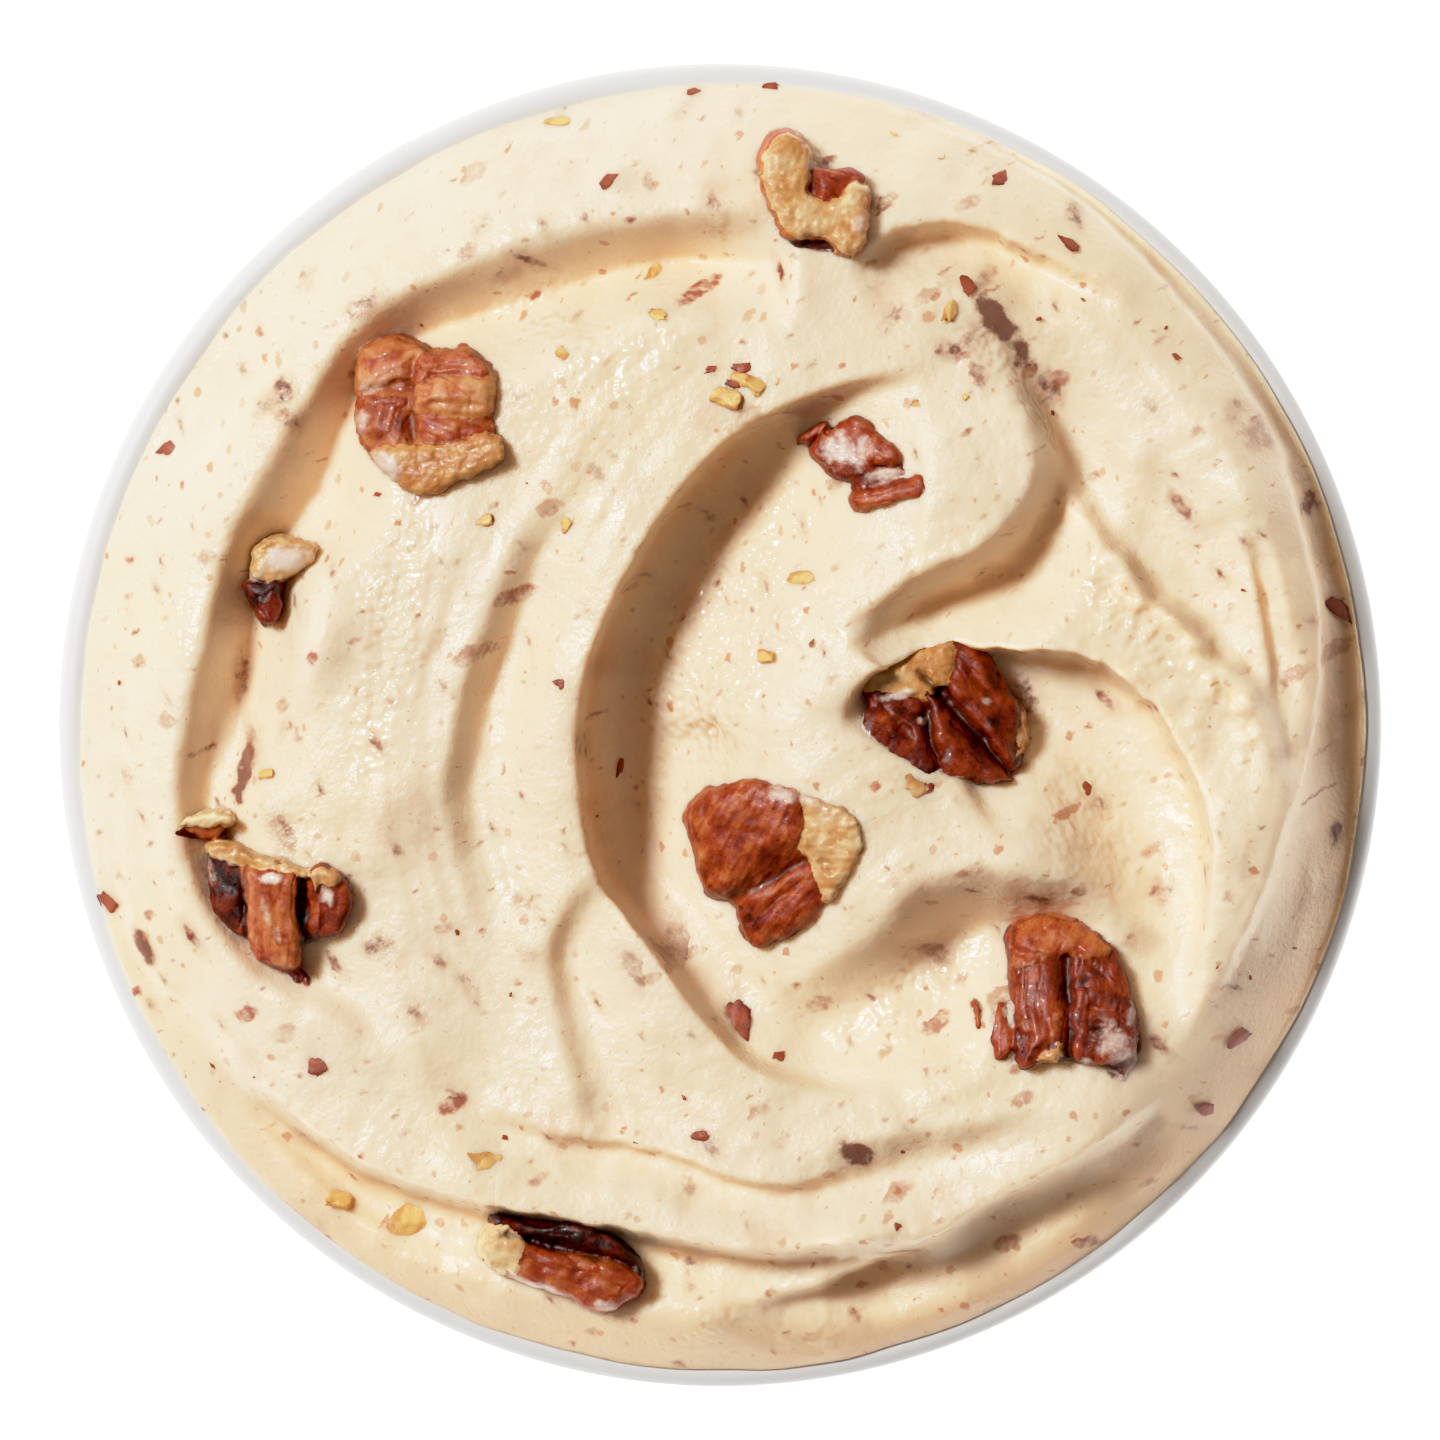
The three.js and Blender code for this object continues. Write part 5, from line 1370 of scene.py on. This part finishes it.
        lines = noise(u / 6, v, z / 2, size=0.3, seed=SEEDS["lines"] + number, octaves=2)
        ridges = np.abs(noise(u / 2.4, v, z / 2, size=1.2, seed=SEEDS["wrinkles"] + number, octaves=2))
        wrinkles = nut.get("wrinkled", 1) * (1 - smooth(0, 0.2, ridges))
        lumps = 0.16 * uneven("lumps", 1.9) + 0.1 * uneven("fine_lumps", 0.9)
        grain = 0.07 * uneven("grain", 0.4, 2)
        wander = 0.3 * noise(x, y, z, size=0.9, seed=SEEDS["films"], octaves=2)
        film = np.zeros(len(x))
        for film_x, film_y, half_length, half_width, angle, most in nut["films"]:
            out = outside_ellipse(x, y, film_x, film_y, half_length, half_width, angle) + wander
            film = np.maximum(film, most * (1 - smooth(0.15, 1.25, out)))
        out = lumps * (1 - 0.5 * flesh) + grain * (0.25 + 0.75 * flesh)
        out += (look.wrinkle / MM * lines - 0.09 * wrinkles) * (1 - flesh)
        out = out * (1 - 0.6 * film) + 0.1 * film

        base, slope_x, slope_y = self.ground(nut)
        points = points + normals * out[:, None] + (nut["x"], nut["y"], base)
        points[:, 2] += slope_x * x + slope_y * y
        move_points(piece, points)
        above = points[:, 2] - cream_height(points[:, 0], points[:, 1])
        touch = 1 - smooth(0.0, 0.22, above + 0.15 * uneven("touch", 1.0, 2))
        beside = np.sort(heights, 0)[-2:]
        seam = (1 - smooth(0.0, 0.25, beside[1] - beside[0])) * smooth(0.9, 1.7, z) * (1 - flesh)
        set_attribute(piece, "flesh", flesh)
        set_attribute(piece, "film", np.maximum(film, 0.75 * touch))
        # Painted shade: deep marks the creases and the seams where skin lobes meet, to be darkened as if in
        # shadow
        set_attribute(piece, "deep", np.maximum(smooth(0.1, 0.7, self.cut(x, y, nut, number)), 0.3 * seam))
        tone = tone + 0.16 * noise(x, y, z, size=1.6, seed=SEEDS["tone"], octaves=2)
        tone += 0.05 * nut.get("lined", 1) * lines - 0.1 * wrinkles
        set_attribute(piece, "tone", np.clip(tone, 0, 1))


class ICECREAM_OT_crumbs(bpy.types.Operator):
    """Makes the crumbs of nut flesh and skin that lie on the cream"""

    bl_idname = "ice_cream.make_crumbs"
    bl_label = "Make crumbs"

    def execute(self, context):
        look = context.scene.ice_cream_crumbs
        rng = np.random.default_rng(look.seed)
        strewn = self.strewn(look, rng)
        flesh = FLESH_CRUMBS + strewn[: len(strewn) // 5]
        skin = SKIN_CRUMBS + strewn[len(strewn) // 5:]
        pale = crumb_material("crumb_flesh", look.flesh, look.brown_flesh)
        red = crumb_material("crumb_skin", look.skin, look.dark_skin)
        self.scatter("flesh_crumbs", flesh, look.flesh_thickness, rng, pale)
        self.scatter("skin_crumbs", skin, look.skin_thickness, rng, red)
        return {"FINISHED"}

    def strewn(self, look, rng):
        """Small crumbs at random places, clear of the pecan pieces."""
        made = []
        while len(made) < look.count:
            out, way = look.spread / MM * math.sqrt(rng.random()), math.tau * rng.random()
            x, y = out * math.cos(way), out * math.sin(way)
            size = 0.35 + 0.8 * rng.random() ** 2.5
            turn = 360 * rng.random()
            if all(math.hypot(x - nut["x"], y - nut["y"]) > look.clearance / MM for nut in PECANS.values()):
                made.append((x, y, size, size * (0.4 + 0.5 * rng.random()), turn))
        return made

    def chips(self, rng, kinds=6, cuts=9):
        """A few broken crumbs, each one unit across, to copy from: points, faces and how brown."""
        made = []
        for _ in range(kinds):
            start_clean()
            bpy.ops.mesh.primitive_cube_add(size=1)
            chip = bpy.context.object
            with editing():
                for _ in range(cuts):
                    way = Vector(rng.normal(size=3)).normalized()
                    bpy.ops.mesh.select_all(action="SELECT")
                    bpy.ops.mesh.bisect(
                        plane_co=way * (0.2 + 0.2 * rng.random()), plane_no=way,
                        use_fill=True, clear_outer=True)
            apply_modifier(chip, "REMESH", mode="VOXEL", voxel_size=0.07)
            points = points_of(chip)
            points /= np.abs(points).max(0) * 2
            seed = int(rng.integers(99))
            bumps = 0.25 * noise(*points.T, 0.4, seed, 2) + 0.05 * noise(*points.T, 0.12, seed)
            move_points(chip, points * (1 + bumps[:, None]))
            side = points[:, :2] @ rng.normal(size=2)
            out = np.hypot(points[:, 0], points[:, 1]) + 0.2 * side + 0.16 * noise(*points.T, 0.3, seed, 2)
            brown = 0.5 * smooth(0.36, 0.54, out)
            made.append((points_of(chip), [tuple(face.vertices) for face in chip.data.polygons], brown))
            bpy.data.objects.remove(chip)
        return made

    def scatter(self, name, places, thickness, rng, material):
        """One mesh of copies of the chips, each laid on the cream where it belongs."""
        chips = self.chips(rng)
        x, y = (np.array([place[i] for place in places]) for i in (0, 1))
        z = cream_height(x, y)
        step = 0.3
        slope_x = (cream_height(x + step, y) - z) / step
        slope_y = (cream_height(x, y + step) - z) / step
        points, faces, browns, start = [], [], [], 0
        for index, (px, py, size, width, turn) in enumerate(places):
            shape, sides, brown = chips[index % len(chips)]
            thick = max(thickness * width, 0.14)
            c, s = math.cos(math.radians(turn)), math.sin(math.radians(turn))
            u, v, w = (shape * (size, width, thick)).T
            lx, ly = u * c - v * s, u * s + v * c
            lz = w + lx * slope_x[index] + ly * slope_y[index] + thick * (0.25 * rng.random() - 0.16)
            points.append(np.column_stack([px + lx, py + ly, z[index] + lz]))
            faces += [tuple(start + corner for corner in side) for side in sides]
            browns.append(brown)
            start += len(shape)
        mesh = bpy.data.meshes.new(name)
        mesh.from_pydata(np.vstack(points).tolist(), [], faces)
        piece = bpy.data.objects.new(name, mesh)
        bpy.context.scene.collection.objects.link(piece)
        set_attribute(piece, "brown", np.concatenate(browns))
        finish_piece(piece, name, material, SLOTS["pecan"])
        only(piece)
        bpy.ops.object.shade_smooth_by_angle(angle=math.radians(35))


# Width of the camera's sensor in mm, how often light bounces, and shares of the film's range where
# its curve gets a point
SENSOR = 36
LIGHT_BOUNCES = 3
FILM_POINTS = (0.14, 0.28, 0.36, 0.44, 0.54, 0.66, 0.78, 0.9)


class ICECREAM_OT_stage(bpy.types.Operator):
    """Makes the floor, the lights and the camera"""

    bl_idname = "ice_cream.make_stage"
    bl_label = "Make stage"

    def execute(self, context):
        look = context.scene.ice_cream_stage
        self.camera(look)
        self.lights(look)
        self.film(look)
        start_clean()
        bpy.ops.mesh.primitive_circle_add(vertices=96, radius=look.floor_radius, fill_type="NGON")
        floor = bpy.context.object
        floor.name = "floor"
        floor.data.materials.append(floor_material(look))
        return {"FINISHED"}

    def camera(self, look):
        """Straight down, far enough away that the tub's sides don't show."""
        start_clean()
        place = (0, look.view_shift, TUB_HIGH.z + look.view_distance)
        bpy.ops.object.camera_add(location=place, rotation=(0, 0, 0))
        camera = bpy.context.object
        camera.data.sensor_width = SENSOR
        camera.data.lens = SENSOR * look.view_distance / look.view_width
        camera.data.clip_end = 10
        bpy.context.scene.camera = camera

    def lights(self, look):
        """A soft sun, and a dim sky that is met by chance, not sampled."""
        start_clean()
        down = math.pi / 2 - look.sun_height
        bpy.ops.object.light_add(type="SUN", rotation=(0, down, look.sun_turn))
        sun = bpy.context.object.data
        sun.energy = look.sun_strength
        sun.angle = look.sun_size
        sun.color = look.sun_colour[:3]
        world = bpy.data.worlds.new("studio")
        bpy.context.scene.world = world
        bpy.context.scene.cycles.diffuse_bounces = LIGHT_BOUNCES
        world.use_nodes = True
        world.cycles.sampling_method = "NONE"
        sky = world.node_tree.nodes["Background"]
        sky.inputs["Color"].default_value = look.sky_colour
        sky.inputs["Strength"].default_value = look.sky_strength

    def film(self, look):
        """Tones as a camera shows them: bright ones are pressed together under white."""
        view = bpy.context.scene.view_settings
        view.view_transform = "Standard"
        view.use_curve_mapping = True
        view.curve_mapping.black_level = (look.film_black,) * 3
        view.curve_mapping.white_level = (look.film_white,) * 3
        start = look.film_shoulder
        for share in FILM_POINTS:
            light = share * look.film_white * look.film_gain
            shown = start + (1 - start) * (1 - math.exp((start - light) / (1 - start)))
            view.curve_mapping.curves[3].points.new(share, light if light < start else shown)
        view.curve_mapping.update()


class ICECREAM_PT_parts(bpy.types.Panel):
    """Lists the pieces of the tub of ice cream"""

    bl_idname = "ICECREAM_PT_parts"
    bl_label = "Pecan ice cream tub"
    bl_space_type = "VIEW_3D"
    bl_region_type = "UI"
    bl_category = "Ice cream"

    def draw(self, context):
        for settings, operator in PARTS:
            box = self.layout.box()
            group = getattr(context.scene, settings)
            for name in group.bl_rna.properties.keys():
                if name not in ("rna_type", "name"):
                    box.prop(group, name)
            box.operator(operator)


GROUPS = {
    "ice_cream_stage": StageSettings,
    "ice_cream_tub": TubSettings,
    "ice_cream": CreamSettings,
    "ice_cream_pecans": PecanSettings,
    "ice_cream_crumbs": CrumbSettings,
}
OPERATORS = (ICECREAM_OT_stage, ICECREAM_OT_tub, ICECREAM_OT_cream, ICECREAM_OT_pecans, ICECREAM_OT_crumbs)
PARTS = tuple((settings, operator.bl_idname) for settings, operator in zip(GROUPS, OPERATORS))


def register():
    for group in GROUPS.values():
        bpy.utils.register_class(group)
    for operator in OPERATORS:
        bpy.utils.register_class(operator)
    bpy.utils.register_class(ICECREAM_PT_parts)
    for name, group in GROUPS.items():
        setattr(bpy.types.Scene, name, bpy.props.PointerProperty(type=group))


def unregister():
    for name in GROUPS:
        delattr(bpy.types.Scene, name)
    bpy.utils.unregister_class(ICECREAM_PT_parts)
    for operator in reversed(OPERATORS):
        bpy.utils.unregister_class(operator)
    for group in reversed(list(GROUPS.values())):
        bpy.utils.unregister_class(group)


def main():
    register()
    bpy.ops.ice_cream.make_stage()
    bpy.ops.ice_cream.make_tub()
    bpy.ops.ice_cream.make_cream()
    bpy.ops.ice_cream.make_pecans()
    bpy.ops.ice_cream.make_crumbs()


if __name__ == "__main__":
    main()
